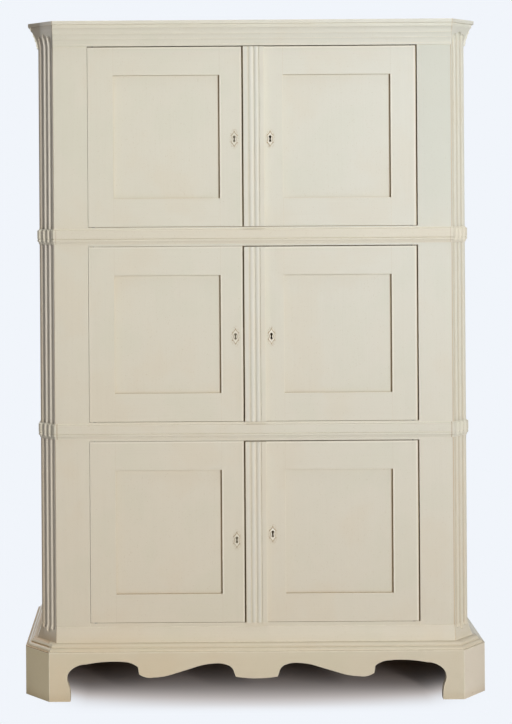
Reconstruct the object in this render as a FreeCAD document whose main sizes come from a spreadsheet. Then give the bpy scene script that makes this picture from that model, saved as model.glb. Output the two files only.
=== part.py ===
import FreeCAD, Part
import math
import os
import re
import Sketcher

# Painted cupboard in three tiers on a scalloped bracket base, with canted and
# fluted front corners.  Millimetres, +Z up, front towards -Y.  The origin is on
# the floor, at the centre of the footprint.

# Driving sizes
SIZES = {
    # Carcase
    "carcase_width": 1375,
    "carcase_depth": 483,
    "corner_cant": 51,
    "post_depth": 74,
    "side_thickness": 22,
    "face_thickness": 24,
    "face_stile_width": 108.5,
    "carcase_top_drop": 10,
    "board_thickness": 22,
    "shelf_thickness": 18,
    "shelf_setback": 16,
    "housing_depth": 6,
    "back_thickness": 16,
    "back_rebate": 8,
    "back_gap": 0.4,
    "top_board_drop": 14,
    "rail_tenon_length": 30,
    "rail_tenon_thickness": 8,
    "rail_tenon_shoulder": 10,
    # Heights, from the floor up
    "plinth_height": 153,
    "plinth_moulding_height": 23,
    "base_flare_height": 45.5,
    "sill_reveal": 12,
    "lower_door_height": 577,
    "middle_door_height": 558,
    "upper_door_height": 575,
    "waist_rail_height": 61,
    "cornice_height": 79,
    # Plinth
    "base_projection": 51,
    "plinth_thickness": 22,
    "plinth_frame_inset": 40,
    "side_foot_length": 90,
    "side_arch_height": 112,
    "side_arch_radius": 45,
    "back_arch_height": 55,
    "back_arch_radius": 30,
    # Base moulding
    "flare_projection": 16,
    "flare_lip": 2,
    "flare_sag": 2.5,
    "moulding_ledge": 21,
    "moulding_upper_round": 12,
    "moulding_upper_drop": 8,
    "moulding_fillet": 3,
    "moulding_lower_round": 12,
    "moulding_lower_drop": 9,
    # Cornice
    "cornice_projection": 33,
    "cornice_lip": 5,
    "cornice_lip_height": 6,
    "cornice_step": 1.6,
    "cornice_first_height": 23,
    "cornice_second_height": 39,
    "cornice_third_height": 57,
    "cornice_first_projection": 10,
    "cornice_second_projection": 16,
    "cornice_third_projection": 24,
    "cornice_fillet_height": 68,
    "cornice_cove_sag": 2.2,
    "post_cove_sag": 3.5,
    # Waist mouldings
    "waist_moulding_height": 50,
    "waist_moulding_lift": 7,
    "waist_projection": 7,
    "waist_top_cove": 5,
    "waist_lip": 1.5,
    "waist_bead_height": 11,
    "waist_bead_bottom": 7,
    # Flutes of the canted corners
    "flute_width": 17,
    "flute_depth": 5,
    "flute_pitch": 21,
    "flute_head_rise": 26,
    "flute_middle_rise": 8,
    "flute_foot_drop": 3,
    # Doors
    "meeting_offset": 31,
    "meeting_gap": 3,
    "door_thickness": 24,
    "left_hinge_gap": 1.2,
    "right_hinge_gap": 4,
    "door_top_gap": 3,
    "left_door_rise": 1.8,
    "door_bottom_gap": 1.5,
    "left_hinge_stile": 82,
    "left_meeting_stile": 72,
    "right_meeting_stile": 128,
    "right_hinge_stile": 81,
    "door_rail_width": 90,
    "tenon_length": 42,
    "panel_thickness": 10,
    "panel_recess": 9,
    "groove_depth": 9,
    "panel_play": 1,
    "stop_rise": 5,
    "stop_clearance": 0.4,
    "stop_notch_length": 46,
    "stop_notch_depth": 12,
    # Pivot pins
    "pin_radius": 3,
    "pin_clearance": 0.08,
    "pin_drive_clearance": 0.02,
    "pin_inset": 16,
    "pin_setback": 5.5,
    "pin_length": 11,
    "pin_root": 12,
    "pin_collar_radius": 6,
    "pin_collar_clearance": 0.3,
    # Reeded strip on the right doors
    "strip_width": 68,
    "strip_thickness": 9,
    "strip_reed_width": 18,
    "strip_reed_sink": 3,
    # Escutcheons and keyholes
    "escutcheon_width": 23,
    "escutcheon_height": 54,
    "escutcheon_thickness": 2.5,
    "left_keyhole_inset": 25.5,
    "right_keyhole_inset": 86.5,
    "keyhole_top_radius": 4.2,
    "keyhole_foot_radius": 3.6,
    "keyhole_slot_width": 4,
    "keyhole_pitch": 12.5,
    "keyhole_drop": 8,
    "lower_left_keyhole_drop": 26,
    # Rim locks
    "lock_width": 104,
    "lock_height": 62,
    "lock_thickness": 15,
    "lock_wall": 2,
    "lock_edge_inset": 1.5,
    "lock_bolt_height": 14,
    "lock_bolt_thickness": 7,
    "lock_bolt_length": 72,
    "lock_bolt_clearance": 0.3,
    # Slide bolts of the left doors
    "slide_width": 14,
    "slide_thickness": 5,
    "slide_length": 130,
    "slide_clearance": 0.3,
    "slide_inset": 36,
    "slide_rest_drop": 3,
    "slide_knob_radius": 6,
    "slide_knob_length": 16,
    "staple_wall": 2.5,
    "staple_height": 12,
    "staple_foot": 9,
    "staple_pitch": 74,
    "staple_drop": 16,
    # Cutting tools run past the wood by this much
    "overrun": 5,
}

# Shares of the plinth front: half its length, and its height
APRON_SHARES = [
    # x share, z share, then the point that the curve to it passes through
    (0.9060, 0.340, 0.8980, 0.170),
    (0.8985, 0.640, 0.9135, 0.490),
    (0.8200, 0.775, 0.8720, 0.722),
    (0.6400, 0.820, 0.7350, 0.822),
    (0.5720, 0.710, 0.6000, 0.782),
    (0.5660, 0.560, None, None),
    (0.4975, 0.4925, 0.5380, 0.500),
    (0.4237, 0.533, 0.4620, 0.503),
    (0.3080, 0.6845, None, None),
    (0.2000, 0.777, 0.2600, 0.744),
    (0.1350, 0.734, 0.1650, 0.771),
    (0.1100, 0.610, 0.1205, 0.690),
    (0.1010, 0.497, None, None),
]
APRON_FOOT_SHARE = 0.898
APRON_CENTRE_SHARE = 0.461

# Shares of the escutcheon: half its width, and half its height
ESCUTCHEON_SHARES = [
    (1.0, 0.45, 0.44, 0.64),
    (0.62, 0.0, 0.74, 0.24),
    (1.0, -0.45, 0.74, -0.24),
    (0.0, -1.0, 0.44, -0.64),
    (-1.0, -0.45, -0.44, -0.64),
    (-0.62, 0.0, -0.74, -0.24),
    (-1.0, 0.45, -0.74, 0.24),
    (0.0, 1.0, -0.44, 0.64),
]

# An even mitre on a cant of 45 degrees
EVEN_MITRE = "(sqrt(2) - 1)"
# A mitre cut square with the front
SQUARE_MITRE = "0"

# Places and sizes worked out from the driving sizes
PLACES = {
    "half_width": "carcase_width / 2",
    "front_y": "(base_projection - carcase_depth) / 2",
    "back_y": "(base_projection + carcase_depth) / 2",
    "cant_edge_x": "half_width - corner_cant",
    "cant_edge_y": "front_y + corner_cant",
    "inner_x": "half_width - side_thickness",
    "opening_half": "cant_edge_x - face_stile_width",
    "carcase_z": "plinth_height + plinth_moulding_height",
    "flare_top_z": "carcase_z + base_flare_height",
    "sill_z": "flare_top_z + sill_reveal",
    "lower_door_z": "sill_z + door_bottom_gap",
    "lower_waist_z": "lower_door_z + lower_door_height + door_top_gap",
    "middle_door_z": "lower_waist_z + waist_rail_height + door_bottom_gap",
    "upper_waist_z": "middle_door_z + middle_door_height + door_top_gap",
    "upper_door_z": "upper_waist_z + waist_rail_height + door_bottom_gap",
    "cornice_z": "upper_door_z + upper_door_height + door_top_gap",
    "top_z": "cornice_z + cornice_height",
    "carcase_top_z": "top_z - carcase_top_drop",
    "board_back_y": "back_y - back_thickness",
    "board_front_y": "front_y + face_thickness + stop_clearance",
    "shelf_front_y": "front_y + door_thickness + shelf_setback",
    "cant_half": "corner_cant / sqrt(2)",
    "half_apron": "cant_edge_x + (sqrt(2) - 1) * base_projection",
    "flute_radius": "(flute_width * flute_width / 4 + flute_depth * flute_depth) / (2 * flute_depth)",
    "flute_reach": "flute_radius - flute_depth",
    "left_door_x": "left_hinge_gap - opening_half",
    "left_door_width": "-meeting_offset - meeting_gap / 2 - left_door_x",
    "right_door_x": "meeting_gap / 2 - meeting_offset",
    "right_door_width": "opening_half - right_hinge_gap - right_door_x",
    "left_keyhole_x": "left_door_x + left_door_width - left_keyhole_inset",
    "right_keyhole_x": "right_door_x + right_keyhole_inset",
    "door_back_y": "front_y + door_thickness",
    "bolt_y": "door_back_y + (lock_thickness - lock_bolt_thickness) / 2",
    "slide_x": "left_door_x + left_door_width - slide_inset",
}

TIERS = ("upper", "middle", "lower")
SIDES = (("left", -1), ("right", 1))
BACK_BOARDS = 8
FLUTES = 3

doc = FreeCAD.newDocument("PaintedCupboard")
sheet = doc.addObject("Spreadsheet::Sheet", "Sizes")
for row, (alias, size) in enumerate(SIZES.items(), start=1):
    sheet.set(f"A{row}", alias)
    sheet.set(f"B{row}", str(size))
    sheet.setAlias(f"B{row}", alias)
doc.recompute()

nodes = []


def formula(text):
    """Write out a formula in the sheet's own names."""
    def spell(match):
        word = match.group()
        if word in PLACES:
            return f"({formula(PLACES[word])})"
        if word in SIZES:
            return f"Sizes.{word}"
        return word
    return re.sub(r"[A-Za-z_]\w*", spell, str(text))


def measure(text):
    """The number of millimetres that a formula gives."""
    return float(sheet.evalExpression(formula(text)))


def bind(thing, path, text):
    thing.setExpression(path, formula(text))


def sided(side, inner, outer):
    """A (low, high) pair in x on the left (-1) or right (1) of the centre."""
    return (inner, outer) if side > 0 else (f"-({outer})", f"-({inner})")


def part(name):
    """Declare an object as a sub-part of the cupboard, under its own name."""
    thing = doc.getObject(name)
    thing.Label = name
    nodes.append(thing)
    return thing


# Sketches: closed outlines whose every corner is held by a formula


def centre_of(a, via, b):
    """Centre of the circle through three points."""
    d = 2 * (a.x * (via.y - b.y) + via.x * (b.y - a.y) + b.x * (a.y - via.y))
    square = [p.x * p.x + p.y * p.y for p in (a, via, b)]
    x = (square[0] * (via.y - b.y) + square[1] * (b.y - a.y) + square[2] * (a.y - via.y)) / d
    y = (square[0] * (b.x - via.x) + square[1] * (a.x - b.x) + square[2] * (via.x - a.x)) / d
    return FreeCAD.Vector(x, y, 0)


def hold(sketch, geometry, end, x, y):
    """Hold a point of the sketch at a place given by two formulas."""
    for kind, text in (("DistanceX", x), ("DistanceY", y)):
        index = sketch.addConstraint(
            Sketcher.Constraint(kind, -1, 1, geometry, end, measure(text)))
        bind(sketch, f"Constraints[{index}]", text)


def outline(sketch, corners):
    """Draw a closed outline.  A corner is (x, y), reached by a straight line,
    or (x, y, via_x, via_y), reached by an arc through the via point."""
    points = [FreeCAD.Vector(measure(c[0]), measure(c[1]), 0) for c in corners]
    pieces = []
    for index, corner in enumerate(corners):
        start, end = points[index - 1], points[index]
        if len(corner) == 2:
            pieces.append((sketch.addGeometry(Part.LineSegment(start, end), False), 1, 2))
            continue
        via = FreeCAD.Vector(measure(corner[2]), measure(corner[3]), 0)
        centre = centre_of(start, via, end)
        counter = (via - start).cross(end - via).z > 0
        first, last = (start, end) if counter else (end, start)
        angles = [math.atan2(p.y - centre.y, p.x - centre.x) for p in (first, last)]
        circle = Part.Circle(centre, FreeCAD.Vector(0, 0, 1), (start - centre).Length)
        arc = sketch.addGeometry(Part.ArcOfCircle(circle, angles[0], angles[1]), False)
        pieces.append((arc, 1, 2) if counter else (arc, 2, 1))
        point = sketch.addGeometry(Part.Point(via), True)
        hold(sketch, point, 1, corner[2], corner[3])
        sketch.addConstraint(Sketcher.Constraint("PointOnObject", point, 1, arc))
    for index, (geometry, _, end) in enumerate(pieces):
        following = pieces[(index + 1) % len(pieces)]
        sketch.addConstraint(
            Sketcher.Constraint("Coincident", geometry, end, following[0], following[1]))
        hold(sketch, geometry, end, corners[index][0], corners[index][1])


def sketch_on(body, role, name, corners):
    sketch = body.newObject("Sketcher::SketchObject", name)
    plane = [item for item in body.Origin.OriginFeatures if item.Role == role][0]
    sketch.AttachmentSupport = [(plane, "")]
    sketch.MapMode = "FlatFace"
    outline(sketch, corners)
    return sketch


# Bodies: a plan raised to a height, then cut right through by a profile


def raised(name, plan, low, high):
    """A body with the plan's outline, standing from one height to another."""
    body = doc.addObject("PartDesign::Body", name)
    sketch = sketch_on(body, "XY_Plane", f"{name}_plan", plan)
    pad = body.newObject("PartDesign::Pad", f"{name}_pad")
    pad.Profile = sketch
    bind(pad, "Length", f"({high}) - ({low})")
    bind(body, "Placement.Base.z", low)
    return body


def cut_through(body, role, name, corners):
    """Cut an outline right through a body, both ways from an origin plane."""
    sketch = sketch_on(body, role, f"{name}_outline", corners)
    doc.recompute()
    before = body.Shape.Volume
    pocket = body.newObject("PartDesign::Pocket", name)
    pocket.Profile = sketch
    pocket.Type = "ThroughAll"
    pocket.SideType = "Symmetric"
    doc.recompute()
    if not body.Shape.Volume < before:
        raise ValueError(f"{name} cuts nothing")
    return pocket


def turn(body, angle):
    """Turn a body about Z where it stands; its place is bound by formulas."""
    body.Placement.Rotation = FreeCAD.Rotation(FreeCAD.Vector(0, 0, 1), angle)


def block(name, x, y, z, length, width, height):
    """A plain board, given by its corner and its three sizes."""
    item = doc.addObject("Part::Box", name)
    for path, text in (("Placement.Base.x", x), ("Placement.Base.y", y), ("Placement.Base.z", z),
                       ("Length", length), ("Width", width), ("Height", height)):
        bind(item, path, text)
    return item


def between(name, x, y, z):
    """A plain board, given by its (low, high) pair along each axis."""
    pairs = [(low, f"({high}) - ({low})") for low, high in (x, y, z)]
    return block(name, pairs[0][0], pairs[1][0], pairs[2][0],
                 pairs[0][1], pairs[1][1], pairs[2][1])


def rod(name, x, y, z, radius, height):
    item = doc.addObject("Part::Cylinder", name)
    for path, text in (("Placement.Base.x", x), ("Placement.Base.y", y), ("Placement.Base.z", z),
                       ("Radius", radius), ("Height", height)):
        bind(item, path, text)
    return item


def ball(name, x, y, z, radius):
    item = doc.addObject("Part::Sphere", name)
    for path, text in (("Placement.Base.x", x), ("Placement.Base.y", y), ("Placement.Base.z", z),
                       ("Radius", radius)):
        bind(item, path, text)
    return item


def joined(name, pieces):
    item = doc.addObject("Part::MultiFuse", name)
    item.Shapes = pieces
    item.Refine = True
    return item


def without(name, base, tools):
    """The base with the tools cut out of it."""
    item = doc.addObject("Part::Cut", name)
    item.Base = base
    item.Tool = tools[0] if len(tools) == 1 else joined(f"{name}_tools", tools)
    item.Refine = True
    return item


def group(name, pieces):
    """Separate solids that share one name."""
    item = doc.addObject("Part::Compound", name)
    item.Links = pieces
    return item


# Mouldings: straight runs along the front, the cants and the sides.  Each run is
# drawn in its own frame, with its length along X and its outer face towards -Y.


def run_plan(near_half, far_half, near_mitre, far_mitre, inner, outer):
    """Plan of a run whose ends are mitred between its inner and outer offsets."""
    return [
        (f"-({near_half}) - ({near_mitre}) * ({inner})", f"-({inner})"),
        (f"-({near_half}) - ({near_mitre}) * ({outer})", f"-({outer})"),
        (f"({far_half}) + ({far_mitre}) * ({outer})", f"-({outer})"),
        (f"({far_half}) + ({far_mitre}) * ({inner})", f"-({inner})"),
    ]


def placed(point, scale, low):
    """A profile's corner in a run's own frame: offsets point towards -Y and
    heights start at the run's foot."""
    return tuple(f"-({scale}) * ({item})" if index % 2 == 0 else f"({item}) - ({low})"
                 for index, item in enumerate(point))


def run(name, where, mitre, inner, outer, low, high, profile=None):
    """One run of a moulding that goes round the carcase.  where is front,
    left_cant, right_cant, left_side or right_side.  The profile is the outer
    face from the bottom up: (offset, height) or (offset, height, via_offset,
    via_height), measured on the front run."""
    scale = "1"
    if where == "front":
        angle, x, y = 0, "0", "front_y"
        near = far = "cant_edge_x"
        near_mitre = far_mitre = mitre
    elif where.endswith("cant"):
        side = -1 if where.startswith("left") else 1
        angle = side * 45
        x, y = f"{side} * (half_width - corner_cant / 2)", "front_y + corner_cant / 2"
        near = far = "cant_half"
        near_mitre = far_mitre = f"(1 - {mitre}) / (1 + {mitre})"
        scale = f"(1 + {mitre}) / sqrt(2)"
    else:
        side = -1 if where.startswith("left") else 1
        angle, x, y = side * 90, f"{side} * half_width", "cant_edge_y"
        near, far = "0", "carcase_depth - corner_cant"
        near_mitre, far_mitre = mitre, "0"
        if side < 0:
            near, far = far, near
            near_mitre, far_mitre = far_mitre, near_mitre
    plan = run_plan(near, far, near_mitre, far_mitre,
                    f"({scale}) * ({inner})", f"({scale}) * ({outer})")
    body = raised(name, plan, low, high)
    if profile:
        edge = [placed(point, scale, low) for point in profile]
        beyond = f"-({scale}) * ({outer}) - overrun"
        bottom, top = "-overrun", f"({high}) - ({low}) + overrun"
        corners = [(edge[0][0], bottom)] + edge + [(edge[-1][0], top), (beyond, top), (beyond, bottom)]
        cut_through(body, "YZ_Plane", f"{name}_profile", corners)
    turn(body, angle)
    bind(body, "Placement.Base.x", x)
    bind(body, "Placement.Base.y", y)
    return body


def sagged(low, high, sag):
    """Corner reached by an arc that sags inwards from the straight line between
    two (offset, height) corners; a negative sag swells outwards."""
    return (high[0], high[1],
            f"(({low[0]}) + ({high[0]})) / 2 - ({sag})",
            f"(({low[1]}) + ({high[1]})) / 2 + ({sag}) / 2")


def flare_profile():
    """Hollow slope from the moulded base up to a small step in the carcase face."""
    low = ("flare_projection", "carcase_z")
    high = ("flare_lip", "flare_top_z")
    return [low, sagged(low, high, "flare_sag"), ("0", "flare_top_z")]


def plinth_moulding_profile():
    """Two rounds that step down and out to the plinth's face."""
    lip = "base_projection"
    knee = "moulding_ledge + moulding_upper_round"
    knee_z = "carcase_z - moulding_upper_drop"
    toe = f"{knee} + moulding_lower_round"
    lower_z = f"{knee_z} - moulding_fillet"
    toe_z = f"{lower_z} - moulding_lower_drop"
    return [
        (lip, "plinth_height"),
        (lip, toe_z),
        (toe, toe_z),
        (knee, lower_z, f"{knee} + moulding_lower_round * sqrt(0.5)",
         f"{toe_z} + moulding_lower_drop * sqrt(0.5)"),
        (knee, knee_z),
        ("moulding_ledge", "carcase_z", "moulding_ledge + moulding_upper_round * sqrt(0.5)",
         f"{knee_z} + moulding_upper_drop * sqrt(0.5)"),
    ]


def cornice_profile():
    """A lip, three shallow coves that step outwards, and two top fillets."""
    first = ("cornice_first_projection", "cornice_z + cornice_first_height")
    second = ("cornice_second_projection", "cornice_z + cornice_second_height")
    third = ("cornice_third_projection", "cornice_z + cornice_third_height")
    start = ("cornice_lip + cornice_step", "cornice_z + cornice_lip_height")
    after_first = (f"{first[0]} + cornice_step", first[1])
    after_second = (f"{second[0]} + cornice_step", second[1])
    fillet = (f"{third[0]} + cornice_step", third[1])
    return [
        ("cornice_lip", "cornice_z"),
        ("cornice_lip", "cornice_z + cornice_lip_height"),
        start,
        sagged(start, first, "cornice_cove_sag / 2"),
        after_first,
        sagged(after_first, second, "cornice_cove_sag / 2"),
        after_second,
        sagged(after_second, third, "cornice_cove_sag"),
        fillet,
        (fillet[0], "cornice_z + cornice_fillet_height"),
        ("cornice_projection", "cornice_z + cornice_fillet_height"),
        ("cornice_projection", "top_z"),
    ]


def waist_profile(low):
    """A bead below a flat face, with a small cove at the top."""
    top = f"{low} + waist_moulding_height"
    bead_low = ("waist_projection / 2", f"{low} + waist_bead_bottom")
    bead_high = ("waist_projection / 2", f"{bead_low[1]} + waist_bead_height")
    return [
        ("waist_lip", low),
        bead_low,
        (bead_high[0], bead_high[1], "waist_projection", f"{bead_low[1]} + waist_bead_height / 2"),
        ("waist_projection", bead_high[1]),
        ("waist_projection", f"{top} - waist_top_cove"),
        ("waist_lip", top, "waist_lip + (waist_projection - waist_lip) * (1 - sqrt(0.5))",
         f"{top} - waist_top_cove * sqrt(0.5)"),
    ]


# Flutes: round cutters with domed ends, standing in front of the cant


def flute_place(side, index, lift):
    """Plan place of a flute's axis.  lift moves it outwards with the face."""
    along = f"({index} - {(FLUTES - 1) / 2}) * flute_pitch / sqrt(2)"
    out = f"(flute_reach + {lift}) / sqrt(2)"
    x = f"{side} * (half_width - corner_cant / 2 + {out} - {along})"
    y = f"front_y + corner_cant / 2 - {out} - {along}"
    return x, y


def flute_cutters(name, side, lift, low, high, domed=True):
    cutters = []
    for index in range(FLUTES):
        x, y = flute_place(side, index, lift)
        middle = index == FLUTES // 2
        top = f"{high} + flute_middle_rise" if middle and domed else high
        foot = f"{low} - flute_middle_rise" if middle and domed else low
        cutters.append(rod(f"{name}_flute_{index}", x, y, foot, "flute_radius", f"({top}) - ({foot})"))
        if domed:
            cutters.append(ball(f"{name}_flute_head_{index}", x, y, top, "flute_radius"))
            cutters.append(ball(f"{name}_flute_foot_{index}", x, y, foot, "flute_radius"))
    # The seam of each round faces straight out of the cant, clear of the wood
    for cutter in cutters:
        turn(cutter, 270 + side * 45)
    return cutters


def corner_post(side_name, side):
    """Canted post, flared at head and foot, with three flutes."""
    name = f"corner_post_{side_name}"
    outer = "half_width + cornice_projection"
    plan = [
        (f"{side} * cant_edge_x", "front_y - cornice_projection"),
        (f"{side} * ({outer})", "cant_edge_y"),
        (f"{side} * half_width", "cant_edge_y"),
        (f"{side} * half_width", "front_y + post_depth"),
        (f"{side} * cant_edge_x", "front_y + post_depth"),
    ]
    post = raised(f"{name}_stock", plan, "carcase_z", "top_z")
    cove_low = ("0", "cornice_z")
    cove_high = ("cornice_third_projection", "cornice_z + cornice_third_height")
    edge = flare_profile() + [
        cove_low,
        sagged(cove_low, cove_high, "post_cove_sag"),
        ("cornice_third_projection", "cornice_z + cornice_fillet_height"),
        ("cornice_projection", "cornice_z + cornice_fillet_height"),
        ("cornice_projection", "top_z"),
    ]
    # The waste in front of the cant is a body of its own: what stays in the
    # post is cut out of it
    half = "cant_half + cornice_projection"
    low = "carcase_z - overrun"
    high = "top_z + overrun"
    waste = raised(f"{name}_waste", run_plan(half, half, "0", "0", "0", "cornice_projection + overrun"),
                   low, high)
    edge = [("flare_projection", low)] + edge + [("cornice_projection", high)]
    kept = [("overrun", "0")]
    kept += [placed(point, "1 / sqrt(2)", low) for point in edge]
    kept += [("overrun", f"({high}) - ({low})")]
    cut_through(waste, "YZ_Plane", f"{name}_waste_profile", kept)
    turn(waste, side * 45)
    bind(waste, "Placement.Base.x", f"{side} * (half_width - corner_cant / 2)")
    bind(waste, "Placement.Base.y", "front_y + corner_cant / 2")
    cutters = flute_cutters(name, side, "0", "flare_top_z - flute_foot_drop", "cornice_z + flute_head_rise")
    without(name, post, [waste] + cutters)
    part(name)


# Carcase


def side_board(side_name, side):
    """Side board, housed for the boards and shelves and rebated for the back."""
    name = f"side_board_{side_name}"
    board = between(f"{name}_stock", sided(side, "inner_x", "half_width"),
                    ("front_y + post_depth", "back_y"), ("carcase_z", "carcase_top_z"))
    cuts = [between(f"{name}_rebate", sided(side, "inner_x - overrun", "inner_x + back_rebate"),
                    ("board_back_y", "back_y + overrun"), ("carcase_z - overrun", "carcase_top_z + overrun"))]
    for board_name, low, thickness, front in BOARDS:
        cuts.append(between(f"{name}_housing_{board_name}",
                            sided(side, "inner_x - overrun", "inner_x + housing_depth"),
                            ("front_y + post_depth - overrun", "board_back_y + overrun"),
                            (low, f"{low} + {thickness}")))
    without(name, board, cuts)
    part(name)


def full_board(name, low, thickness, front):
    """A board from side to side, let into the housings and cut round the posts."""
    end = "inner_x + housing_depth"
    board = between(f"{name}_stock", (f"-({end})", end), (front, "board_back_y"),
                    (low, f"{low} + {thickness}"))
    notches = []
    for side_name, side in SIDES:
        notches.append(between(f"{name}_post_notch_{side_name}",
                               sided(side, "cant_edge_x", f"{end} + overrun"),
                               (f"{front} - overrun", "front_y + post_depth"),
                               (f"{low} - overrun", f"{low} + {thickness} + overrun")))
    return board, notches


def door_stop_board(name, low, thickness):
    """A board whose front edge rises behind the doors above it as their stop,
    with clear corners where the doors' hinge edges swing."""
    board, notches = full_board(name, low, thickness, "board_front_y")
    top = f"{low} + {thickness}"
    for side_name, side in SIDES:
        notches.append(between(f"{name}_swing_notch_{side_name}",
                               sided(side, "opening_half - stop_notch_length", "cant_edge_x + overrun"),
                               ("board_front_y - overrun", "board_front_y + stop_notch_depth"),
                               (f"{top} - stop_rise - door_bottom_gap", f"{top} + overrun")))
    without(name, board, notches)
    part(name)


def plain_board(name, low, thickness, front):
    board, notches = full_board(f"{name}_piece", low, thickness, front)
    return without(name, board, notches)


def pin_bore(name, x, low, radius, depth):
    return rod(name, x, "front_y + pin_setback", low, radius, depth)


def pin_x(side_name):
    if side_name == "left":
        return "left_door_x + pin_inset"
    return "right_door_x + right_door_width - pin_inset"


def pin_holes(name, low, high):
    """Holes for the pins of both doors in a rail's top or bottom edge."""
    holes = []
    for side_name in ("left", "right"):
        holes.append(pin_bore(f"{name}_hole_{side_name}", pin_x(side_name), low,
                              "pin_radius + pin_drive_clearance", f"({high}) - ({low})"))
    return holes


def waist_rail(name, low):
    """Rail between two tiers, tenoned into the face stiles."""
    rail = between(f"{name}_rail", ("-opening_half", "opening_half"),
                   ("front_y", "front_y + face_thickness"), (low, f"{low} + waist_rail_height"))
    tenon = between(f"{name}_tenon",
                    ("-opening_half - rail_tenon_length", "opening_half + rail_tenon_length"),
                    ("front_y + (face_thickness - rail_tenon_thickness) / 2",
                     "front_y + (face_thickness + rail_tenon_thickness) / 2"),
                    (f"{low} + rail_tenon_shoulder", f"{low} + waist_rail_height - rail_tenon_shoulder"))
    below = pin_holes(f"{name}_below", f"{low} - overrun", f"{low} + pin_root")
    above = pin_holes(f"{name}_above", f"{low} + waist_rail_height - pin_root",
                      f"{low} + waist_rail_height + overrun")
    without(name, joined(f"{name}_stock", [rail, tenon]), below + above)
    part(name)


def face_stile(side_name, side):
    """Wide stile between the canted post and the door."""
    name = f"face_stile_{side_name}"
    board = between(f"{name}_stock", sided(side, "opening_half", "cant_edge_x"),
                    ("front_y", "front_y + face_thickness"), ("flare_top_z", "cornice_z"))
    mortises = []
    for waist in ("lower_waist_z", "upper_waist_z"):
        mortises.append(between(f"{name}_mortise_{waist}",
                                sided(side, "opening_half - overrun",
                                      "opening_half + rail_tenon_length"),
                                ("front_y + (face_thickness - rail_tenon_thickness) / 2",
                                 "front_y + (face_thickness + rail_tenon_thickness) / 2"),
                                (f"{waist} + rail_tenon_shoulder",
                                 f"{waist} + waist_rail_height - rail_tenon_shoulder")))
    without(name, board, mortises)
    part(name)


def sill_rail():
    """Bottom rail, with the cavetto that flares out to the base on its face."""
    face = run("sill_rail_flare", "front", SQUARE_MITRE, "-face_thickness", "flare_projection",
               "carcase_z", "flare_top_z", flare_profile())
    sill = between("sill_rail_top", ("-opening_half", "opening_half"),
                   ("front_y", "front_y + face_thickness"), ("flare_top_z", "sill_z"))
    without("sill_rail", joined("sill_rail_stock", [face, sill]),
            pin_holes("sill_rail", "sill_z - pin_root", "sill_z + overrun"))
    part("sill_rail")


def head_rail():
    rail = between("head_rail_stock", ("-cant_edge_x", "cant_edge_x"),
                   ("front_y", "front_y + face_thickness"), ("cornice_z", "carcase_top_z"))
    without("head_rail", rail, pin_holes("head_rail", "cornice_z - overrun", "cornice_z + pin_root"))
    part("head_rail")


def door_top(tier, side_name):
    """Height of a door's top edge.  The left doors of the middle and lower tiers
    stand closer to the rail above."""
    rise = " + left_door_rise" if side_name == "left" and tier != "upper" else ""
    return f"{tier}_door_z + {tier}_door_height{rise}"


def hinge_pins():
    """Iron pins driven into the rails, on which the doors turn.  The lower pin
    of each door has a collar that carries the door."""
    pins = []
    for tier in TIERS:
        low = f"{tier}_door_z"
        rail = f"{low} + {tier}_door_height + door_top_gap"
        for side_name in ("left", "right"):
            label = f"hinge_pin_{tier}_{side_name}"
            top = door_top(tier, side_name)
            x = pin_x(side_name)
            y = "front_y + pin_setback"
            lower = rod(f"{label}_lower_shank", x, y, f"{low} - door_bottom_gap - pin_root",
                        "pin_radius", "pin_root + door_bottom_gap + pin_length")
            collar = rod(f"{label}_collar", x, y, f"{low} - door_bottom_gap",
                         "pin_collar_radius", "door_bottom_gap - pin_collar_clearance")
            pins.append(joined(f"{label}_lower", [lower, collar]))
            pins.append(rod(f"{label}_top", x, y, f"{top} - pin_length",
                            "pin_radius", f"{rail} + pin_root - ({top} - pin_length)"))
    group("hinge_pins", pins)
    part("hinge_pins")


def back_boards():
    boards = []
    half = "inner_x + back_rebate"
    pitch = f"(2 * ({half}) / {BACK_BOARDS})"
    for index in range(BACK_BOARDS):
        boards.append(block(f"back_board_{index + 1}", f"-({half}) + {index} * {pitch}", "board_back_y",
                            "carcase_z", f"{pitch} - back_gap", "back_thickness",
                            "carcase_top_z - carcase_z"))
    group("back_boards", boards)
    part("back_boards")


# Plinth


def plinth_front():
    """Front board with the scalloped apron between two bracket feet."""
    board = run("plinth_front", "front", EVEN_MITRE, "base_projection - plinth_thickness",
                "base_projection", "0", "plinth_height")

    def at(x_share, z_share):
        return f"{x_share} * half_apron", f"{z_share} * plinth_height"

    corners = [(f"{APRON_FOOT_SHARE} * half_apron", "-overrun"), (f"{APRON_FOOT_SHARE} * half_apron", "0")]
    for x_share, z_share, via_x, via_z in APRON_SHARES:
        corners.append(at(x_share, z_share) + (at(via_x, via_z) if via_x is not None else ()))
    centre = at(0, APRON_CENTRE_SHARE)
    last = APRON_SHARES[-1]
    corners.append(at(-last[0], last[1]) + centre)
    for index in range(len(APRON_SHARES) - 1, 0, -1):
        via_x, via_z = APRON_SHARES[index][2:]
        target = APRON_SHARES[index - 1]
        corners.append(at(-target[0], target[1]) + (at(-via_x, via_z) if via_x is not None else ()))
    first = APRON_SHARES[0]
    corners.append((f"-{APRON_FOOT_SHARE} * half_apron", "0") + at(-first[2], first[3]))
    corners.append((f"-{APRON_FOOT_SHARE} * half_apron", "-overrun"))
    cut_through(board, "XZ_Plane", "plinth_front_scallop", corners)
    part("plinth_front")


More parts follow.
